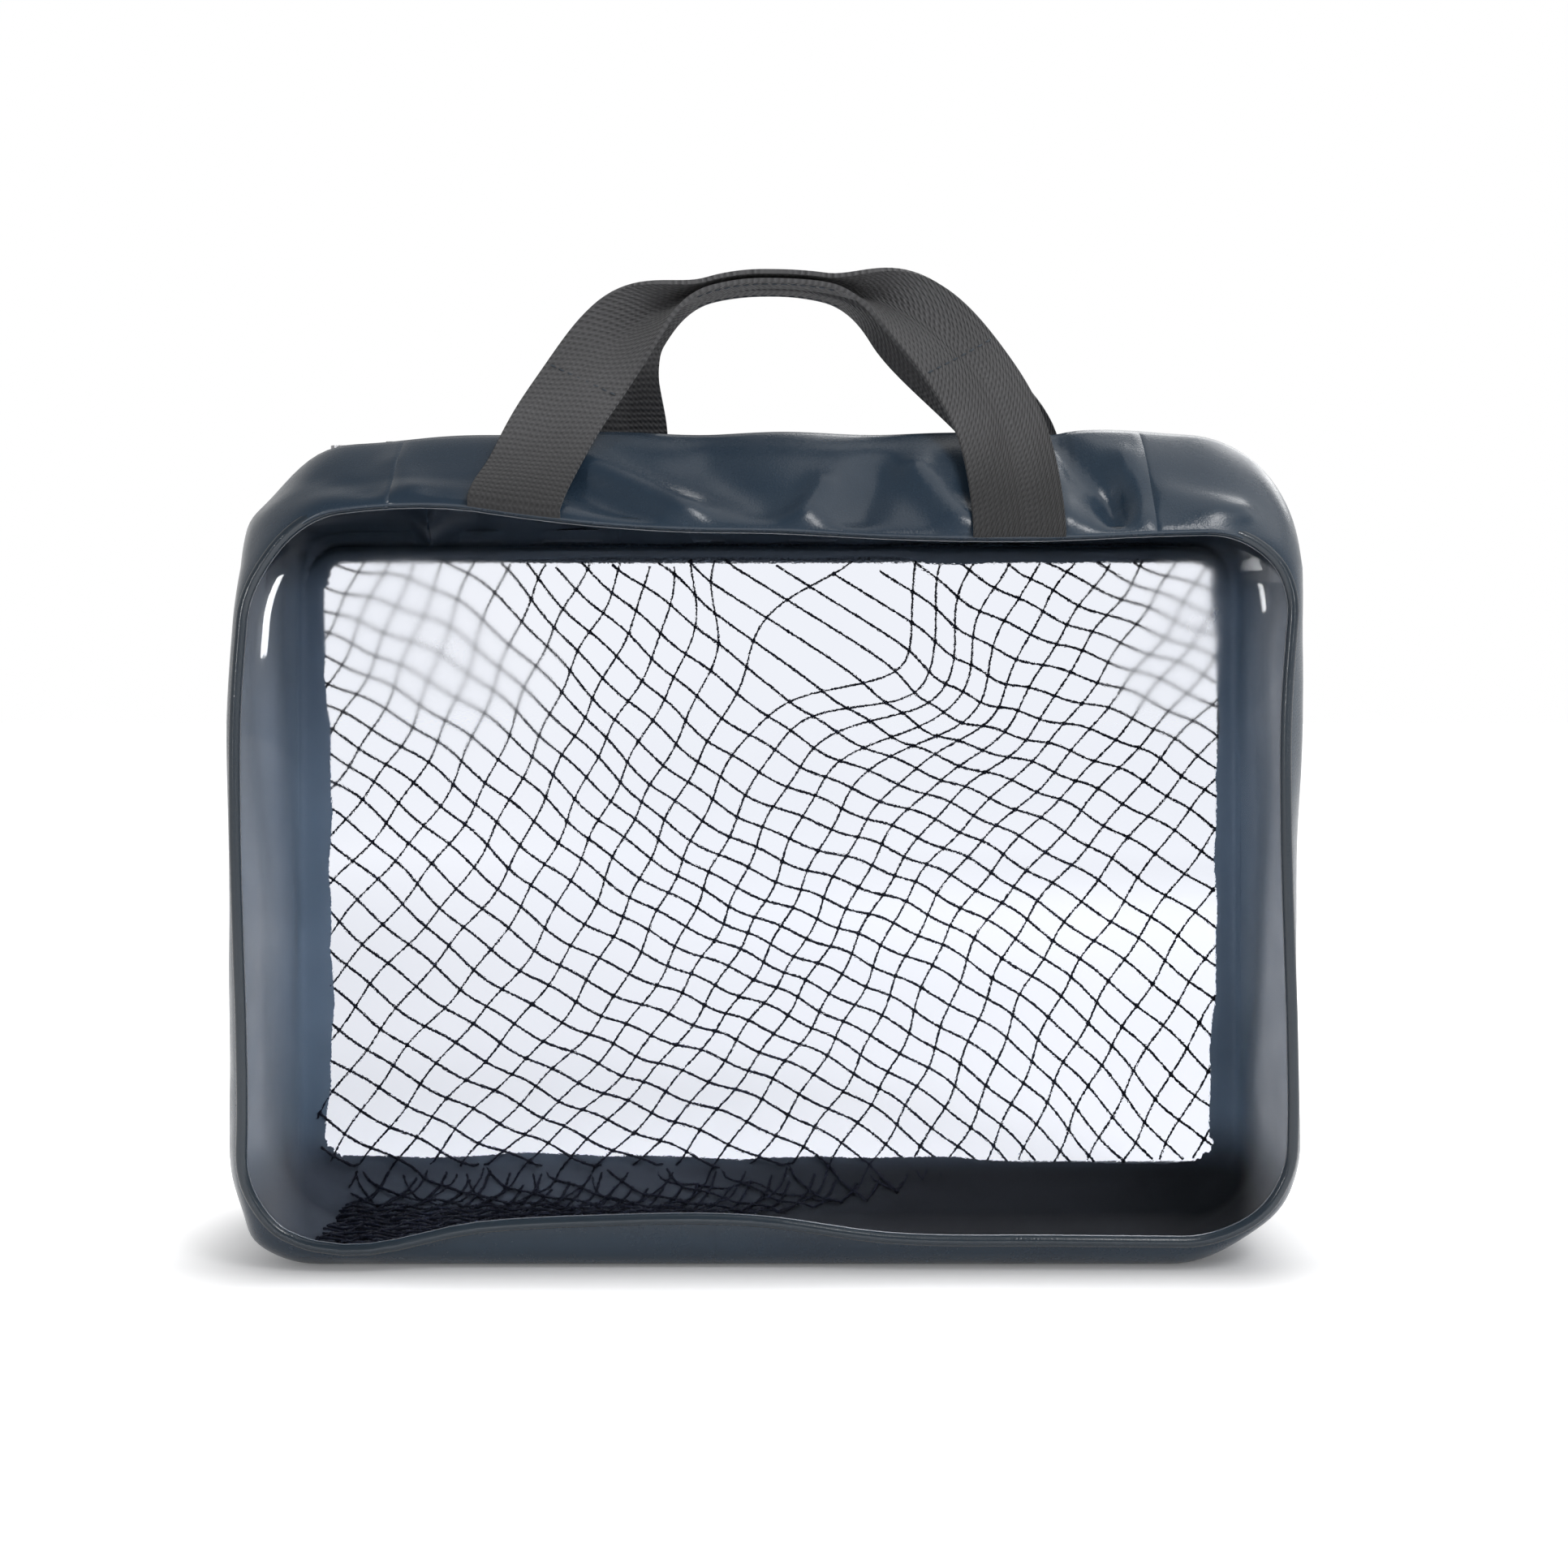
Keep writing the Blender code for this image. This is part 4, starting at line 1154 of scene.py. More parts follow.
@dataclass(frozen=True)
class Gussets:
    """The two vinyl strips of the ends, the corners and the bottom, with the tape over their join."""

    kit: Kit
    notch_rows: int = 8
    tape_width: float = 0.014
    tape_length: float = 0.060
    seam_half: float = 0.0048

    def depths(self) -> Array:
        """Depths from front to back, close together at the curves, with stations at the zip's hems."""
        s, half = self.kit.sizes, self.kit.form.half_depths()
        return np.concatenate([-half[::-1], np.linspace(-s.hem_half, s.hem_half, 5)[1:-1], half])

    def skin(self, side: Side) -> Array:
        """The softened surface of one gusset, lips and edges included."""
        form, ys = self.kit.form, self.depths()
        front, back = (form.shell_edge(side.value, face.value, lead=1) for face in Face)
        return form.soften(np.concatenate([front[:, ::-1], form.shell(side.value, ys, lead=1), back],
                                          axis=1))[1:]

    def build(self) -> None:
        """Make both gussets and their join."""
        s, kit, ys = self.kit.sizes, self.kit, self.depths()
        for side in Side:
            label = side.name.lower()
            grid = self.skin(side)
            keep = np.ones((grid.shape[0] - 1, grid.shape[1] - 1), bool)
            if side is Side.LEFT:
                inside = np.abs((ys[1:] + ys[:-1]) / 2) < s.hem_half
                keep[:self.notch_rows, 2:-2] &= ~inside
            piece = thicken(lay_grid(f"gusset_{label}_skin", grid, keep=keep), s.vinyl, lined=True)
            kit.settle(piece, kit.looks.vinyl, "slate_vinyl", "shell", f"gusset_{label}")
        self.join()

    def join(self) -> None:
        """Lay the tape over the bottom join and sew it down both sides."""
        kit, s = self.kit, self.kit.sizes
        floor = s.vinyl + s.fit_gap
        xs = s.join_x + np.linspace(-0.5, 0.5, 13) * self.tape_width
        ys = np.linspace(-0.5, 0.5, 31) * self.tape_length
        x, y = np.meshgrid(xs, ys, indexing="ij")
        crown = 1 - ((x - s.join_x) / (self.tape_width / 2)) ** 4
        z = floor + s.vinyl * 0.6 + 0.0005 * crown + 0.00015 * np.sin(240 * y) * crown
        piece = thicken(lay_grid("gusset_join_tape_strip", xyz(x, y, z)), s.vinyl * 0.6, 1.0)
        kit.settle(piece, kit.looks.vinyl, "slate_vinyl", "shell", "gusset_join_tape")
        lines = [xyz(s.join_x + turn * self.seam_half, ys, floor + 0.0011) for turn in (-1.0, 1.0)]
        kit.sew("gusset_join_stitches", lines, "slate_vinyl", "shell")


@dataclass(frozen=True)
class TopFlap:
    """Half of the zipped top: vinyl, zip tape and teeth, its end lengths meeting the fixed corners."""

    kit: Kit
    face: Face
    body: str
    cuts: tuple[float, float]
    step: float = 0.0028
    stop_length: float = 0.0026
    stop_inset: float = 0.0006
    hem_seam: float = 0.0100
    row_insets: tuple[float, float] = (0.0018, 0.0045)
    tooth_neck: float = 0.0012
    tooth_head: tuple[float, float] = (0.0019, 0.0011)
    stop_height: float = 0.0024
    stop_bevel: float = 0.0004

    @property
    def label(self) -> str:
        """Which flap this is."""
        return self.face.name.lower()

    def spans(self) -> list[tuple[str, float, float, str | Bend]]:
        """Name, ends and hold of each length of the flap."""
        half, (low, high) = self.kit.sizes.flap_half, self.cuts
        left = Bend("shell", self.body, (-half, 0.0, 0.0), (low, 0.0, 0.0))
        right = Bend("shell", self.body, (half, 0.0, 0.0), (high, 0.0, 0.0))
        return [("left", -half, low, left), ("middle", low, high, self.body), ("right", high, half, right)]

    def zip_level(self) -> float:
        """Level of the zip's middle plane."""
        s = self.kit.sizes
        return s.top_z + float(self.kit.form.top_bulge(0.0)) - s.vinyl - s.fit_gap - s.tape / 2

    def build(self) -> None:
        """Make the flap length by length."""
        for label, low, high, hold in self.spans():
            main = label == "middle"
            self.skin(label, low, high, hold, main)
            self.tape(label, low, high, hold, main)
            self.teeth_row(label, low, high, hold, main)
        self.stop()

    def stations(self, low: float, high: float) -> Array:
        """Places along x for one length."""
        return np.linspace(low, high, max(4, round((high - low) / self.step)))

    def surface(self) -> tuple[Array, Array]:
        """Lay the softened vinyl of the whole flap.

        Returns:
            Places along x, a step past each end, and the grid of points there.
        """
        form, half = self.kit.form, self.kit.sizes.flap_half
        runs = [self.stations(low, high) for _, low, high, _ in self.spans()]
        xs = np.unique(np.concatenate([[-half - self.step], *runs, [half + self.step]]))
        y, z = form.flap_section().T
        return xs, form.soften(xyz(xs[:, None], self.face.value * y, z))

    def skin(self, label: str, low: float, high: float, hold: str | Bend, main: bool) -> None:
        """Make the vinyl of one length and the stitches along its hem."""
        kit, s = self.kit, self.kit.sizes
        xs, grid = self.surface()
        held = (xs >= low) & (xs <= high)
        xs, grid = xs[held], grid[held]
        piece = thicken(lay_grid(f"top_flap_{self.label}_{label}", grid), s.vinyl, lined=True)
        kit.settle(piece, kit.looks.vinyl, "slate_vinyl", hold,
                   *([f"top_flap_{self.label}"] if main else []))
        level = s.top_z + float(kit.form.top_bulge(self.hem_seam)) + 0.0001
        line = xyz(xs, self.face.value * self.hem_seam, level)
        kit.sew(f"hem_stitches_{self.label}_{label}", [line], "slate_vinyl", hold)

    def tape(self, label: str, low: float, high: float, hold: str | Bend, main: bool) -> None:
        """Make one length of zip tape, with a beaded edge beside the teeth."""
        kit, s = self.kit, self.kit.sizes
        xs = self.stations(low, high)
        across = s.teeth_outer + np.array([-0.0006, -0.0003, 0.0, 0.0003, 0.0006, 0.0012, 0.0030, 0.0055,
                                           0.0082])
        bead = np.array([0.0, 0.0001, 0.00015, 0.0001, 0.0, 0.0, 0.0, 0.0, 0.0])
        grid = xyz(xs[:, None], self.face.value * across, self.zip_level() + bead)
        piece = thicken(lay_grid(f"zip_tape_{self.label}_{label}", grid), s.tape, 0.0)
        kit.settle(piece, kit.looks.cloth, "zip_cloth", hold, *([f"zip_tape_{self.label}"] if main else []))

    def teeth_row(self, label: str, low: float, high: float, hold: str | Bend, main: bool) -> None:
        """Make the teeth of one length, the two rows half a pitch apart."""
        kit, s = self.kit, self.kit.sizes
        first = -s.flap_half + self.row_insets[0] + (s.teeth_pitch / 2 if self.face is Face.BACK else 0.0)
        places = np.arange(first, s.flap_half - self.row_insets[1], s.teeth_pitch)
        places = places[(places >= low) & (places < high)]
        reach = (s.teeth_outer - s.teeth_inner) / 2
        middle = self.face.value * (s.teeth_outer - reach)
        line = xyz(places, middle, self.zip_level())
        name = f"zip_teeth_{self.label}_{label}"
        piece = kit.teeth.grow(name, path_mesh(name, [line]), kit.looks.teeth, Pitch=s.teeth_pitch,
                               Neck=(self.tooth_neck, 2 * reach, 0.8 * s.teeth_height),
                               Head=(*self.tooth_head, s.teeth_height),
                               Reach=(0.0, -self.face.value * (reach - self.tooth_head[1] / 2), 0.0))
        kit.settle(piece, kit.looks.teeth, "zip_teeth", hold,
                   *([f"zip_teeth_{self.label}"] if main else []))

    def stop(self) -> None:
        """Make the metal clip that ends the row of teeth."""
        kit, s = self.kit, self.kit.sizes
        high = s.flap_half - self.stop_inset
        bm = bmesh.new()
        bmesh.ops.create_cube(bm, size=1.0)
        size = Vector((self.stop_length, s.teeth_outer - 0.0010, self.stop_height))
        middle = Vector((high - size.x / 2, self.face.value * (s.teeth_outer + 0.0010) / 2,
                         self.zip_level()))
        for vert in bm.verts:
            vert.co = Vector(a * b for a, b in zip(vert.co, size)) + middle
        bmesh.ops.bevel(bm, geom=bm.edges[:], offset=self.stop_bevel, segments=3, profile=0.6,
                        affect="EDGES")
        name = f"zip_top_stop_{self.label}_clip"
        mesh = bpy.data.meshes.new(name)
        bm.to_mesh(mesh)
        bm.free()
        piece = bpy.data.objects.new(name, mesh)
        bpy.context.scene.collection.objects.link(piece)
        kit.settle(piece, kit.looks.metal, "zip_metal", self.spans()[2][3], f"zip_top_stop_{self.label}")


@dataclass(frozen=True)
class ZipEnds:
    """What is sewn to the corners at the zip's ends: patches, the tape's tail and small hardware."""

    kit: Kit
    gussets: Gussets
    tab_rows: int = 7
    tab_lift: float = 0.0011
    tab_puff: float = 0.0007

    def build(self) -> None:
        """Make the patches and the tail, and finish the hardware."""
        for side in Side:
            self.tab(side)
        self.tail()
        for node, finish in (("zip_slider", self.kit.looks.metal), ("zip_pull", self.kit.looks.metal),
                             ("zip_bottom_stop", self.kit.looks.metal),
                             ("zip_tail_chain", self.kit.looks.teeth)):
            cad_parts[node].material_slots[0].material = finish

    def tab(self, side: Side) -> None:
        """Lay a padded vinyl patch over one end of the zip and sew round it."""
        kit, s = self.kit, self.kit.sizes
        label, first = side.name.lower(), self.gussets.notch_rows
        ys = np.linspace(-s.valley_half, s.valley_half, 17)
        rows = slice(first, first + self.tab_rows)
        flat = kit.form.shell(side.value, ys, lift=self.tab_lift)[rows]
        puffed = kit.form.shell(side.value, ys, lift=self.tab_lift + self.tab_puff)[rows]
        run = np.linspace(-1, 1, self.tab_rows)[:, None]
        puff = ((1 - run ** 4) * (1 - (ys / s.valley_half)[None, :] ** 4))[..., None]
        grid = flat + (puffed - flat) * puff
        piece = thicken(lay_grid(f"zip_end_tab_{label}_patch", kit.form.slump(grid)), s.vinyl)
        kit.settle(piece, kit.looks.tab, "tab_vinyl", "shell", f"zip_end_tab_{label}")
        edge = kit.form.slump(grid + (puffed - flat) * 0.4)
        line = np.concatenate([edge[1, 2:-2], edge[1:-1, -3], edge[-2, -3:1:-1], edge[-2:0:-1, 2]])
        kit.sew(f"zip_end_tab_{label}_stitches", [line], "tab_vinyl", "shell", pitch=0.0026)

    def tail(self) -> None:
        """Lay the tail of the zip tape under the left corner, slit for the last teeth."""
        kit, s = self.kit, self.kit.sizes
        ys = np.array([-s.valley_half, -0.008, -s.teeth_outer - s.fit_gap, s.teeth_outer + s.fit_gap, 0.008,
                       s.valley_half])
        rows = self.gussets.notch_rows + 4
        grid = kit.form.shell(Side.LEFT.value, ys, lift=-(s.vinyl + s.fit_gap))[:rows]
        keep = np.ones((rows - 1, len(ys) - 1), bool)
        keep[:self.gussets.notch_rows, 2] = False
        piece = thicken(lay_grid("zip_tail_tape_cloth", kit.form.slump(grid), keep=keep), s.tape)
        kit.settle(piece, kit.looks.cloth, "zip_cloth", "shell", "zip_tail_tape")


@dataclass(frozen=True)
class Panels:
    """The clear front, the net back with its binding, and the piping round both."""

    kit: Kit
    film_rows: int = 72
    film_columns: int = 112
    binding_width: float = 0.0024
    turning: float = 0.0062
    turning_left: float = 0.0022
    turning_least: float = 0.0026
    turning_top: tuple[tuple[float, float], ...] = ((-165, 5.0), (-145, 3.0), (48, 3.0), (62, 6.2),
                                                    (112, 5.4), (140, 3.4))
    puff: float = 0.0020
    puff_reach: float = 0.020
    tuck: float = 0.0028
    tuck_reach: float = 0.016

    def build(self) -> None:
        """Make the piping, the film, the binding and its stitches, and the seam's turned edge."""
        kit, s = self.kit, self.kit.sizes
        for face, radius in ((Face.FRONT, s.front_radius), (Face.BACK, s.back_radius)):
            name = f"{face.name.lower()}_piping"
            loop = self.loop(radius, 0.0, face.value * s.half_depth)
            piece = kit.runs.grow(f"{name}_cord", path_mesh(name, [loop], closed=True), kit.looks.cord,
                                  Radius=s.piping, Sides=12)
            kit.settle(piece, kit.looks.cord, "piping", "shell", name)
        self.film()
        self.binding()
        self.turned_edge()

    def loop(self, radius: float, inset: float, y: float) -> Array:
        """A panel's outline at depth y, slumped."""
        flat = self.kit.form.outline(radius, inset)
        return self.kit.form.slump(xyz(flat[:, 0], y, flat[:, 1]))

    def film(self) -> None:
        """Make the clear front, puffed near its seam, slack between, tucked in behind the top piping."""
        kit, s = self.kit, self.kit.sizes
        inset = 0.0006
        low, high, reach = s.bottom_z + inset, s.top_z - inset, s.front_radius - inset
        t = np.linspace(0, 1, self.film_rows)
        z = low + (high - low) * (0.45 * t + 0.55 * (0.5 - 0.5 * np.cos(math.pi * t)))
        cut = np.maximum(0.0, np.maximum(reach - (z - low), reach - (high - z)))
        half = s.panel_width / 2 - inset - reach + np.sqrt(np.maximum(reach ** 2 - cut ** 2, 0.0))
        u = np.linspace(-1, 1, self.film_columns)
        u = 0.35 * u + 0.65 * np.sin(math.pi / 2 * u)
        x = half[:, None] * u[None, :]
        zz = np.repeat(z[:, None], self.film_columns, axis=1)
        slack = np.cos(math.pi / 2 * u)[None, :] * np.sin(math.pi * t)[:, None]
        wave = 0.0008 * np.sin(46 * x + 21 * zz) + 0.0006 * np.sin(-29 * x + 63 * zz + 1.2)
        rim = np.minimum(half[:, None] - np.abs(x), np.minimum(zz - low, high - zz))
        full = 1 - np.maximum(1 - rim / self.puff_reach, 0.0) ** 2
        tuck = ease((zz - high + self.tuck_reach) / self.tuck_reach)
        y = -s.half_depth - slack * (0.0012 + wave) - self.puff * full * (1 - tuck) + self.tuck * tuck
        piece = thicken(lay_grid("front_window_film", kit.form.slump(xyz(x, y, zz))), s.film, 0.0)
        kit.settle(piece, kit.looks.film, "clear_vinyl", "shell", "front_window")

    def binding(self) -> None:
        """Fold a narrow tape round the edge of the net and sew it down."""
        kit, s = self.kit, self.kit.sizes
        start = s.piping + s.fit_gap
        section = ((0.0, -0.0006), (0.0, 0.0005), (0.3, 0.0009), (0.8, 0.0009), (1.0, 0.0002),
                   (0.8, -0.0010), (0.3, -0.0010))
        rings = [self.loop(s.back_radius, start + share * self.binding_width, s.half_depth + rise)
                 for share, rise in section]
        piece = lay_grid("back_binding_tape", np.stack(rings, axis=1), wrap=(True, True))
        kit.settle(piece, kit.looks.binding, "binding", "shell", "back_binding")
        for face, y in (("outer", 0.0009), ("inner", -0.0010)):
            line = self.loop(s.back_radius, start + 0.62 * self.binding_width, s.half_depth + y)
            kit.sew(f"back_binding_stitches_{face}", [line], "binding", "shell", closed=True)

    def turned_edge(self) -> None:
        """Turn the vinyl's raw edge in over the back seam, cut unevenly and wider on the left."""
        kit, s = self.kit, self.kit.sizes
        form = kit.form
        seam, inner = (form.outline(s.back_radius, inset) for inset in (0.0, MM))
        inward = (inner - seam) / MM
        up, down = (ease(np.arcsin(np.clip(turn * inward[:, 1], 0.0, 1.0)) * 2 / math.pi)
                    for turn in (-1.0, 1.0))
        a = np.linspace(0, math.tau, len(seam), endpoint=False)
        waves = ((1.6, 5, 0.4), (1.1, 13, 1.3), (0.6, 37, 2.0), (0.3, 83, 0.0))
        cut = sum(size * np.sin(turns * a + start) for size, turns, start in waves)
        sides = self.turning + self.turning_left * ease((-0.13 - seam[:, 0]) / 0.03)
        top = np.interp(seam[:, 0] / MM, *zip(*self.turning_top)) * MM
        reach = np.maximum(sides + up * (top - sides) + (0.7 - 0.4 * up) * MM * cut, self.turning_least)
        insets = []
        for y in s.gusset_half - np.array([0.0030, 0.0016, 0.0007]):
            walls = (down * s.bottom_sag + (1 - up - down) * s.side_bulge) * form.wall_bulge(y)
            insets.append((s.vinyl / 2 - up * form.top_bulge(y) - walls, y))
        hem = ((0.0, -0.0002), (0.3, -0.0001), (0.6, 0.0), (1.0, 0.0003))
        insets += [(share * reach, s.gusset_half + y) for share, y in hem]
        rings = []
        for inset, y in insets:
            flat = seam + inward * inset[:, None]
            depth = y + up * s.lip * (1 - ease(-inset / s.lip_fade)) * (inset < 0)
            rings.append(form.slump(xyz(flat[:, 0], depth, flat[:, 1])))
        piece = thicken(lay_grid("back_seam_turned_edge", np.stack(rings, axis=1), wrap=(True, False)),
                        0.0005)
        kit.settle(piece, kit.looks.lining, "slate_vinyl", "shell")


@dataclass(frozen=True)
class BackNet:
    """The knotted net of the back, slack towards the lower left where it lies on the bag's floor."""

    kit: Kit
    run_angle: float = math.radians(-31)
    tie_angle: float = math.radians(56)
    run_spacing: float = 0.0088
    tie_spacing: float = 0.0110
    run_thread: float = 0.00050
    tie_thread: float = 0.00038
    knot: float = 0.00092
    slack: float = 0.072
    gather: float = 0.8
    bare: float = 30.0
    bare_at: tuple[float, float] = (18.0, 226.0)
    bare_size: tuple[float, float] = (24.0, 62.0)
    cuts: int = 4
    reach: int = 56
    hem: float = 0.0016
    layers: tuple[float, float] = (0.0022, 0.0010)

    def build(self) -> None:
        """Make the two families of threads, the runs carrying the knots."""
        kit = self.kit
        for name, along, radius, main in (("back_net_runs", True, self.run_thread, True),
                                          ("back_net_ties", False, self.tie_thread, False)):
            lines, knots = self.family(along)
            path = path_mesh(name, lines, knots=knots)
            piece = kit.threads.grow(name, path, kit.looks.net, Radius=radius,
                                     Knot=self.knot if main else 0.5 * self.knot)
            kit.settle(piece, kit.looks.net, "net", "shell", *(["back_net"] if main else []))

    def spare(self, x: Array) -> Array:
        """How far the slack net reaches over the floor at x."""
        return self.slack * ease((0.085 - x) / 0.24)

    def inside(self, spot: Array) -> bool:
        """Whether a place on the flat net is within its cut outline."""
        s = self.kit.sizes
        inset = s.piping + s.fit_gap + self.hem
        half, low, high = s.panel_width / 2 - inset, s.bottom_z + inset, s.top_z - inset
        x, z = abs(float(spot[0])), float(spot[1])
        if z < low:
            return x < half - 0.012 and z > low - 2 * float(self.spare(spot[0])) / self.gather
        reach = s.back_radius - inset
        dx, dz = x - (half - reach), max(low + reach - z, z - (high - reach))
        if dx > 0 and dz > 0:
            return math.hypot(dx, dz) < reach
        return x < half and z < high

    def warp(self, spot: Array) -> Array:
        """Pull the even net askew, as knotted net hangs."""
        x, z = spot[..., 0] / MM, spot[..., 1] / MM
        dx = (6.5 * np.sin(x / 58 + z / 44 + 0.6) + 1.6 * np.sin(z / 19 - x / 33 + 2.0)
              + 0.8 * np.sin(x / 6.1 + z / 9.3))
        dz = (7.5 * np.sin(x / 52 - z / 47 + 1.9) + 1.4 * np.sin(x / 18 + z / 27)
              + 0.7 * np.sin(z / 5.3 - x / 8.7))
        gather = 9.0 * np.exp(-((x - 150) / 40) ** 2 - ((z - 26) / 30) ** 2)
        pinch = 14.0 * np.exp(-((x + 104) / 34) ** 2 - ((z - 236) / 34) ** 2)
        run = np.array([math.cos(self.run_angle), math.sin(self.run_angle)])
        (cx, cz), (width, length) = self.bare_at, self.bare_size
        along = (x - cx) * run[0] + (z - cz) * run[1]
        across = (z - cz) * run[0] - (x - cx) * run[1]
        apart = self.bare * np.tanh(along / 5.0) * np.exp(-(along / length) ** 2 - (across / width) ** 2)
        return np.stack([x + dx + 0.3 * pinch + apart * run[0], z + dz - gather + pinch + apart * run[1]],
                        axis=-1) * MM

    def drape(self, flat: Array) -> Array:
        """Hang the flat net in the back panel, its slack gathered forward over the floor and back again.

        Args:
            flat: Rows of x and z on the flat net.

        Returns:
            Points in the bag.
        """
        s, form = self.kit.sizes, self.kit.form
        x, z = flat[:, 0], flat[:, 1]
        low = s.bottom_z + s.piping + s.fit_gap + self.hem
        spare, past = self.spare(x), self.gather * np.maximum(low - z, 0.0)
        forward = np.where(past < spare, past, 2 * spare - past)
        rim = np.minimum(s.panel_width / 2 - np.abs(x), np.minimum(s.top_z - z, np.maximum(z - low, 0.0)))
        belly = ease(rim / 0.05) * (0.0030 + 0.0022 * np.sin(38 * x + 20 * z)
                                    + 0.0014 * np.sin(71 * z - 26 * x))
        foot = ease((low + 0.030 - z) / 0.030) * ease(spare / 0.02) * ease((z - low) / 0.004 + 1)
        y = s.half_depth - 0.0015 - belly - forward - 0.004 * foot * (past <= 0)
        floor = s.bottom_z * (1 - form.wall_bulge(np.minimum(y, s.gusset_half))) + s.vinyl
        lie = np.where(past < spare, *self.layers)
        lie += 0.0012 * np.abs(np.sin(190 * x + 60 * y)) * (past > 0)
        return xyz(x, y, np.where(past > 0, floor + lie, z))

    def family(self, runs: bool) -> tuple[list[Array], list[Array]]:
        """Threads of one family, cut to the net's outline.

        Args:
            runs: Whether these are the long runs or the ties that cross them.

        Returns:
            Each thread's points in the bag, and which of them are crossings.
        """
        s = self.kit.sizes
        run = np.array([math.cos(self.run_angle), math.sin(self.run_angle)])
        tie = np.array([math.cos(self.tie_angle), math.sin(self.tie_angle)])
        skew = abs(run[0] * tie[1] - run[1] * tie[0])
        run, tie = run * self.tie_spacing / skew, tie * self.run_spacing / skew
        along, across = (run, tie) if runs else (tie, run)
        middle = np.array([0.003, s.bottom_z + s.panel_height / 2 - 0.02])
        steps = np.arange(-self.reach * self.cuts, self.reach * self.cuts + 1)
        lines, knots = [], []
        for j in range(-self.reach, self.reach + 1):
            spots = self.warp(middle + across * j + along * (steps / self.cuts)[:, None])
            held = np.array([self.inside(spot) for spot in spots])
            for piece in np.split(np.arange(len(steps)), np.flatnonzero(np.diff(held)) + 1):
                if held[piece[0]] and len(piece) > 1:
                    lines.append(self.drape(spots[piece]))
                    knots.append(steps[piece] % self.cuts == 0)
        return lines, knots


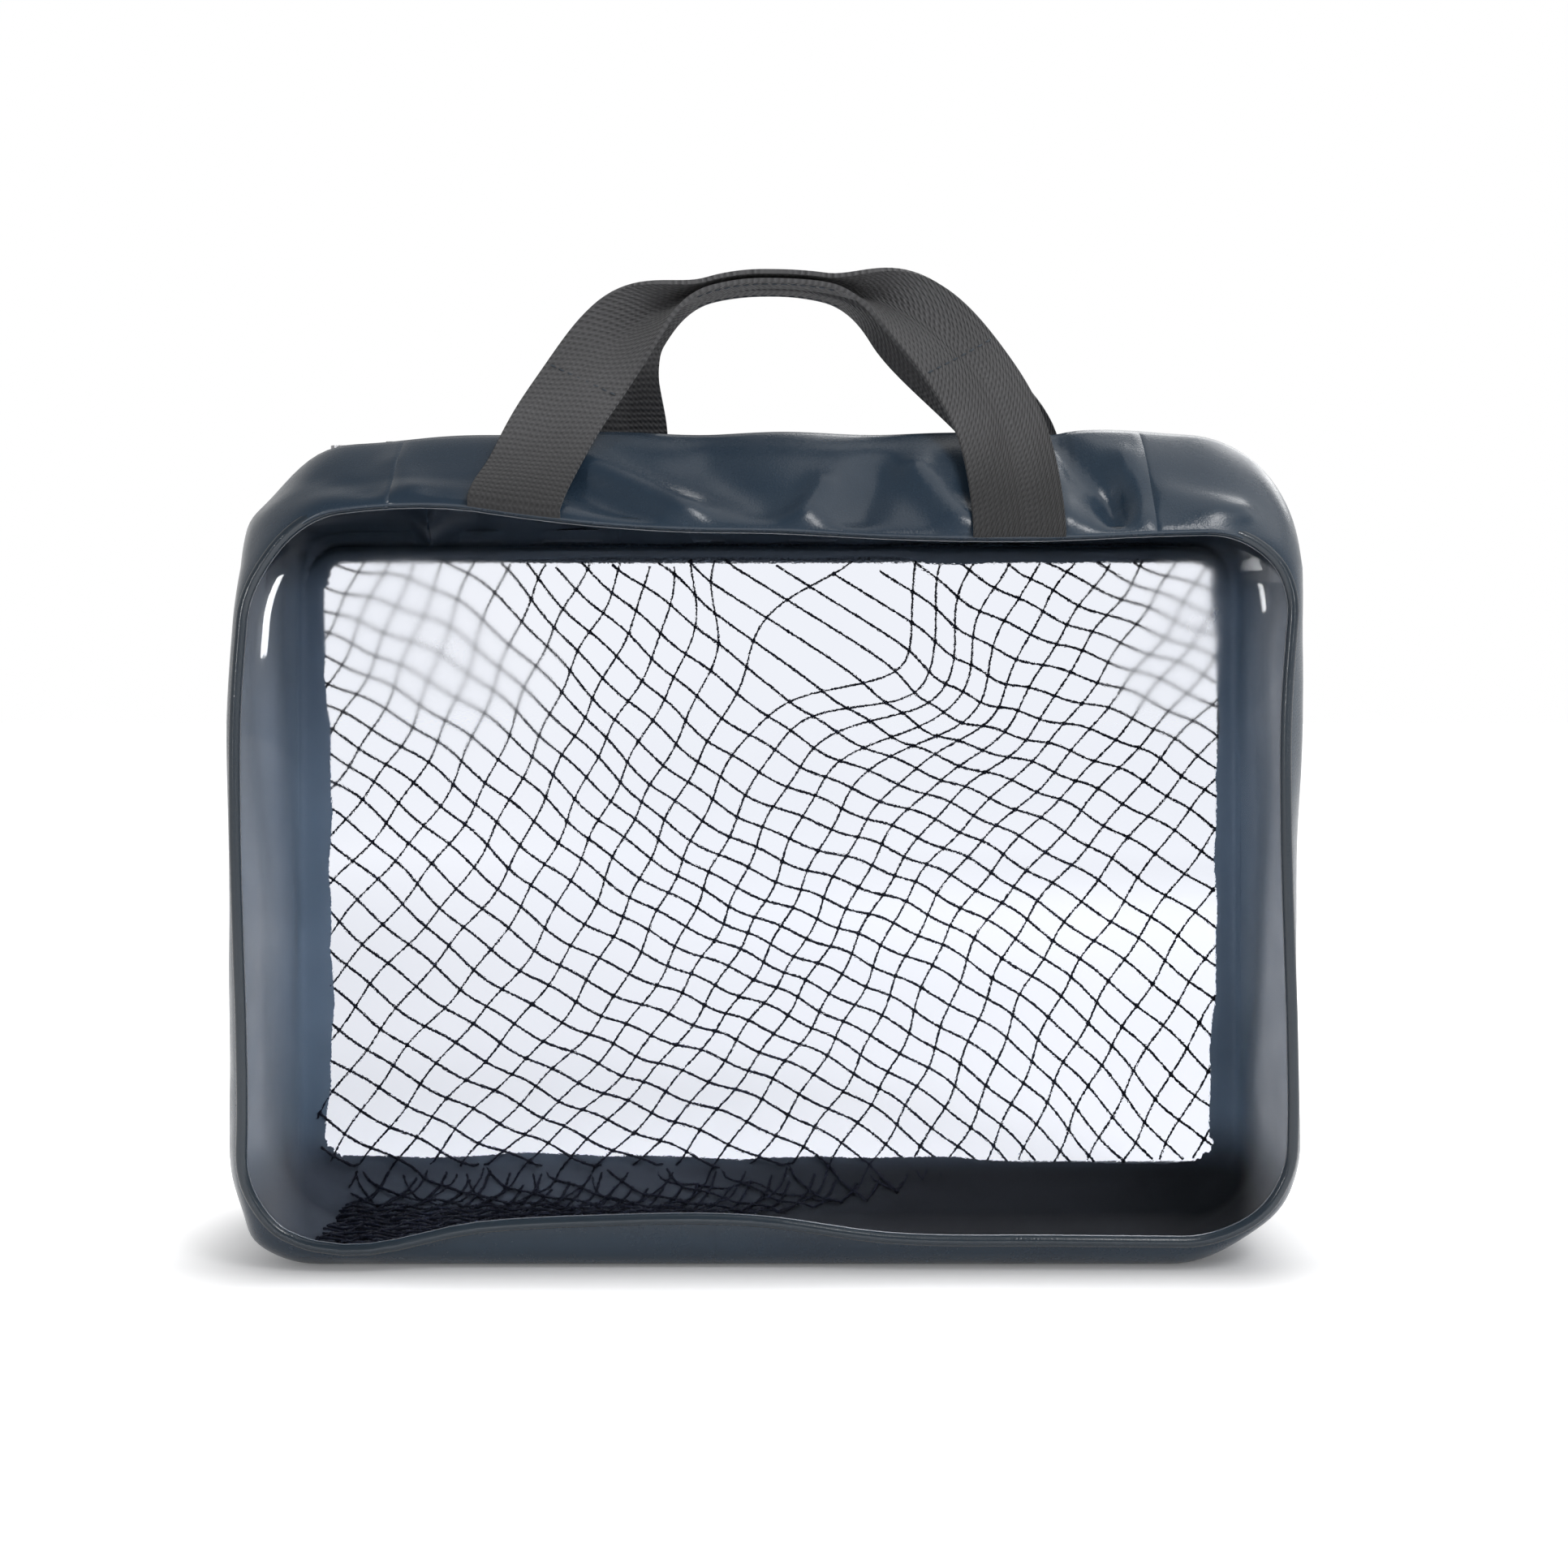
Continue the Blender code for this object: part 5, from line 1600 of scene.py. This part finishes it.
@dataclass(frozen=True)
class Handle:
    """A webbing handle: two flat legs sewn into the seam and a grip folded in half."""

    kit: Kit
    face: Face
    body: str
    flap: str
    finish: bpy.types.Material
    spread: float
    rise: float
    shift: float = 0.0
    lean: float = 0.0
    sway: float = 0.0
    width: float = 0.030
    webbing: float = 0.0015
    squareness: float = 2.3
    left_squareness: float = 2.3
    meet: float = 0.005
    grip: float = 0.040
    fold: float = 0.050
    zone: float = 0.0024
    lean_from: float = 0.35
    lean_to: float = 0.85
    run_gap: float = 0.00035
    proud: float = 0.0031
    root: float = 0.0030
    seam_inset: float = 0.0030
    seam_lift: float = 0.0001
    rows: int = 121

    @property
    def label(self) -> str:
        """Which handle this is."""
        return self.face.name.lower()

    def frames(self) -> tuple[Array, Array, Array, Array, Array]:
        """Where the webbing runs.

        Returns:
            For each row: the middle of the webbing, the directions across it and ahead of it,
            how far it is folded, and its height as a share of the rise.
        """
        s, face = self.kit.sizes, self.face.value
        reach = (s.piping + self.webbing / 2 + self.run_gap) * math.sqrt(0.5)
        foot = np.array([self.shift, face * (s.half_depth + reach), s.top_z + reach])
        slope = np.array([0.0, face * self.meet - foot[1], self.rise])
        a = np.linspace(0, math.pi, self.rows)
        c = np.cos(a)
        power = 2 / np.where(c > 0, self.left_squareness, self.squareness)
        high = np.maximum(np.sin(a), 0.0) ** power
        x = -self.spread / 2 * np.sign(c) * np.abs(c) ** power
        aside = x + self.lean * ease((high - self.lean_from) / (self.lean_to - self.lean_from))
        middle = foot + xyz(aside, 0.0, 0.0) + slope * high[:, None]
        along = np.gradient(middle, axis=0)
        along[0], along[-1] = slope, -slope
        along /= np.linalg.norm(along, axis=-1, keepdims=True)
        turn = ease((self.grip / 2 + self.fold - np.abs(x)) / self.fold)[:, None]
        front = np.cross((1.0, 0.0, 0.0), slope) * -face
        front /= np.linalg.norm(front)
        ahead = front + (np.array([0.0, face, 0.0]) - front) * turn
        ahead /= np.linalg.norm(ahead, axis=-1, keepdims=True)
        outward = np.cross(ahead, along) * -face
        outward /= np.linalg.norm(outward, axis=-1, keepdims=True)
        middle[:, 0] += self.sway * np.sin(math.pi * high) * (x < 0)
        middle[:, 1] += face * self.proud * (1 - ease(high * self.rise / 0.030))
        return middle, outward, ahead, turn[:, 0] * math.pi / 2, high

    def across(self, middle: Array, outward: Array, ahead: Array, close: Array, place: float,
               lift: float = 0.0) -> Array:
        """Points on the webbing at one place across it.

        Args:
            middle: The middle of the webbing at each row.
            outward: The direction across it.
            ahead: The direction that it folds towards.
            close: How far each half has closed, in radians.
            place: Distance from the middle, positive outward.
            lift: Distance off the webbing, away from the fold's inside.

        Returns:
            A point for each row.
        """
        way = outward * math.copysign(1.0, place)
        bend = np.maximum(close, 1e-4)[:, None] / self.zone
        turned = bend * min(abs(place), self.zone)
        spot = middle + way * np.sin(turned) / bend + ahead * (1 - np.cos(turned)) / bend
        rest = max(abs(place) - self.zone, 0.0)
        normal = way * np.sin(turned) - ahead * np.cos(turned)
        return spot + (way * np.cos(turned) + ahead * np.sin(turned)) * rest + normal * lift

    def build(self) -> None:
        """Make the webbing and the stitches of its grip."""
        kit, s, form = self.kit, self.kit.sizes, self.kit.form
        middle, outward, ahead, close, _ = self.frames()
        half = self.width / 2
        places = np.array([-1.0, -0.985, -0.8, -0.6, -0.4, -0.25, -0.16, -0.08, 0.0, 0.08, 0.16, 0.25, 0.4,
                           0.6, 0.8, 0.985, 1.0])
        grid = np.stack([self.across(middle, outward, ahead, close, place * half) for place in places],
                        axis=1)
        ripple = 0.0004 * np.sin(np.linspace(0, 40, self.rows))[:, None] * np.cos(3 * places)[None, :]
        grid += ahead[:, None, :] * ripple[..., None]
        down = np.array([0.0, -self.face.value * 0.1 * self.root, -self.root])
        roots = [grid[:1] + down * share for share in (1.0, 0.66, 0.33)]
        tips = [grid[-1:] + down * share for share in (0.33, 0.66, 1.0)]
        grid = form.slump(np.concatenate(roots + [grid] + tips))
        bend = Bend(self.flap, self.body, (0.0, 0.0, s.top_z + 0.001), (0.0, 0.0, s.top_z + 0.014))
        piece = thicken(lay_grid(f"handle_{self.label}_webbing", grid), self.webbing, 0.0)
        kit.settle(piece, self.finish, "webbing", bend, f"handle_{self.label}")
        lines = []
        held = close > math.pi / 2 * 0.97
        off = self.webbing / 2 + self.seam_lift
        for place in (half - self.seam_inset, -half + self.seam_inset):
            lines.append(self.across(middle, outward, ahead, close, place, off)[held])
        places = np.linspace(-0.8, 0.8, 9) * half
        for row in np.flatnonzero(close > 0.02)[[0, -1]]:
            here = [rows[row:row + 1] for rows in (middle, outward, ahead, close)]
            lines.append(np.array([self.across(*here, place, -off)[0] for place in places]))
        kit.sew(f"handle_{self.label}_stitches", [form.slump(line) for line in lines], "webbing", self.body,
                pitch=0.0032)


@dataclass(frozen=True)
class Studio:
    """White room with a pale floor, soft lamps and the camera at the photograph's angle."""

    camera_at: Point = (-0.0106, -0.8025, 0.1845)
    image: int = 1932
    axis_pixel: tuple[int, int] = (912, 875)
    focal_pixels: float = 2832.0
    sensor: float = 36.0
    floor_half: float = 30.0
    floor_colour: Colour = (0.80, 0.80, 0.81)
    shade_half: tuple[float, float] = (0.150, 0.030)
    glow_near: float = 0.10
    glow_reach: float = 0.085
    film_glow: tuple[float, float] = (0.40, 0.81)
    film_glow_span: tuple[float, float] = (0.60, 2.30)
    ambient: float = 0.56
    room_low: float = 1.0
    room_high: float = 0.28
    room_front: float = 0.40
    room_top: float = 0.85
    front_span: tuple[float, float] = (-0.9, 0.2)

    def build(self) -> None:
        """Set up the whole studio."""
        self.camera()
        self.floor()
        self.lamp("overhead", (0.70, -0.10, 1.50), (0.0, 0.0, 0.18), (1.80, 1.80), 7.5)
        self.lamp("front_key", (0.58, -1.15, 1.20), (0.05, 0.0, 0.22), (0.40, 0.40), 6.5)
        self.lamp("front_fill", (0.75, -1.35, 0.95), (0.0, 0.0, 0.15), (0.90, 0.90), 3.0)
        self.lamp("back_fill", (0.55, 1.15, 1.00), (0.0, 0.0, 0.10), (0.90, 0.90), 7.0)
        self.lamp("left_strip", (-0.69, -1.13, 0.36), (-0.10, 0.0, 0.20), (0.06, 0.22), 1.8)
        self.lamp("right_strip", (0.66, -1.13, 0.34), (0.10, 0.0, 0.18), (0.04, 0.14), 0.6)
        self.world()
        bpy.context.scene.view_settings.view_transform = "Standard"

    def camera(self) -> None:
        """Place the camera, shifted as the photograph is framed."""
        data = bpy.data.cameras.new("camera")
        data.sensor_width = self.sensor
        data.lens = self.focal_pixels / self.image * self.sensor
        data.shift_x = (self.image / 2 - self.axis_pixel[0]) / self.image
        data.shift_y = (self.axis_pixel[1] - self.image / 2) / self.image
        data.clip_start = 0.01
        camera = bpy.data.objects.new("camera", data)
        camera.location = self.camera_at
        camera.rotation_euler = (math.pi / 2, 0.0, 0.0)
        bpy.context.scene.collection.objects.link(camera)
        bpy.context.scene.camera = camera

    def lamp(self, name: str, place: Point, aim: Point, size: tuple[float, float], power: float) -> None:
        """Add a soft lamp.

        Args:
            name: Name of the lamp.
            place: Where it hangs.
            aim: What it faces.
            size: Its width and height.
            power: Watts.
        """
        data = bpy.data.lights.new(name, "AREA")
        data.shape = "RECTANGLE"
        data.size, data.size_y = size
        data.energy = power
        lamp = bpy.data.objects.new(name, data)
        lamp.location = place
        lamp.rotation_euler = (Vector(aim) - Vector(place)).to_track_quat("-Z", "Y").to_euler()
        bpy.context.scene.collection.objects.link(lamp)

    def floor(self) -> None:
        """Make the floor: it takes the bag's shadow, and further off it glows into the white room."""
        ends = np.array([-self.floor_half, self.floor_half])
        x, y = np.meshgrid(ends, ends, indexing="ij")
        floor = lay_grid("floor", xyz(x, y, 0.0))
        look = Look("pale_floor")
        at = look.add("ShaderNodeTexCoord").outputs["Object"]
        rough = look.fade(look.noise(at, 3.0, 3.0), (0.0, 1.0), (0.7, 0.9), smooth=False)
        past = look.vectors("SUBTRACT", look.vectors("ABSOLUTE", at)[0], (*self.shade_half, 0.0))[0]
        away = look.vectors("LENGTH", look.vectors("MAXIMUM", past, (0.0, 0.0, 0.0))[0])["Value"]
        level = look.fade(away, (0.0, self.glow_reach), (self.glow_near, 1.0))
        dimmer = look.fade(away, self.film_glow_span, self.film_glow)
        shown = look.rays("Is Camera Ray", "Is Glossy Ray", "Is Transmission Ray")
        bright = look.between(look.rays("Is Transmission Ray"), level, dimmer)
        look.set(Base_Color=opaque(self.floor_colour), Roughness=rough, Specular_IOR_Level=0.1,
                 Emission_Color=opaque((1.0, 1.0, 1.0)),
                 Emission_Strength=look.maths("MULTIPLY", shown, bright))
        floor.data.materials.append(look.material)

    def world(self) -> None:
        """Show the room white, and light the bag from a pale horizon, darker overhead and in front."""
        world = bpy.data.worlds.new("studio_white")
        world.use_nodes = True
        nodes = Nodes(world.node_tree)
        at = nodes.add("ShaderNodeTexCoord").outputs["Generated"]
        _, away, up = nodes.add("ShaderNodeSeparateXYZ", {0: at}).outputs
        room = nodes.fade(up, (0.0, self.room_top), (self.room_low, self.room_high), smooth=False)
        front = nodes.fade(away, self.front_span, (self.room_front, 1.0), smooth=False)
        mirrored = nodes.fade(nodes.rays("Is Glossy Ray"), (0.0, 1.0), (self.ambient, 1.0), smooth=False)
        light = nodes.maths("MULTIPLY", nodes.maths("MULTIPLY", room, front), mirrored)
        strength = nodes.between(nodes.rays("Is Camera Ray", "Is Transmission Ray"), light, 1.0)
        back = nodes.tree.nodes["Background"]
        back.inputs["Color"].default_value = opaque((1.0, 1.0, 1.0))
        nodes.tree.links.new(strength, back.inputs["Strength"])
        bpy.context.scene.world = world


def main() -> None:
    """Build every sub-assembly, then the studio."""
    logging.basicConfig(level=logging.INFO, format="%(name)s: %(message)s")
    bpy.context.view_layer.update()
    sizes = BagSizes()
    looks = make_finishes()
    kit = Kit(sizes, BagForm(sizes), looks, stitch_recipe(), round_run_recipe(), net_recipe(),
              tooth_recipe())
    gussets = Gussets(kit)
    gussets.build()
    TopFlap(kit, Face.FRONT, "front_flap", (-0.084, 0.080)).build()
    TopFlap(kit, Face.BACK, "back_flap", (-0.0555, 0.0945)).build()
    ZipEnds(kit, gussets).build()
    Panels(kit).build()
    BackNet(kit).build()
    Handle(kit, Face.FRONT, "front_grip", "front_flap", looks.webbing, spread=0.164, rise=0.0865,
           shift=-0.002, sway=0.004, left_squareness=1.9).build()
    Handle(kit, Face.BACK, "back_grip", "back_flap", looks.shaded_back_webbing, spread=0.150, rise=0.0883,
           shift=0.0195, lean=-0.020).build()
    Studio().build()
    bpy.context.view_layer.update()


if __name__ == "__main__":
    main()
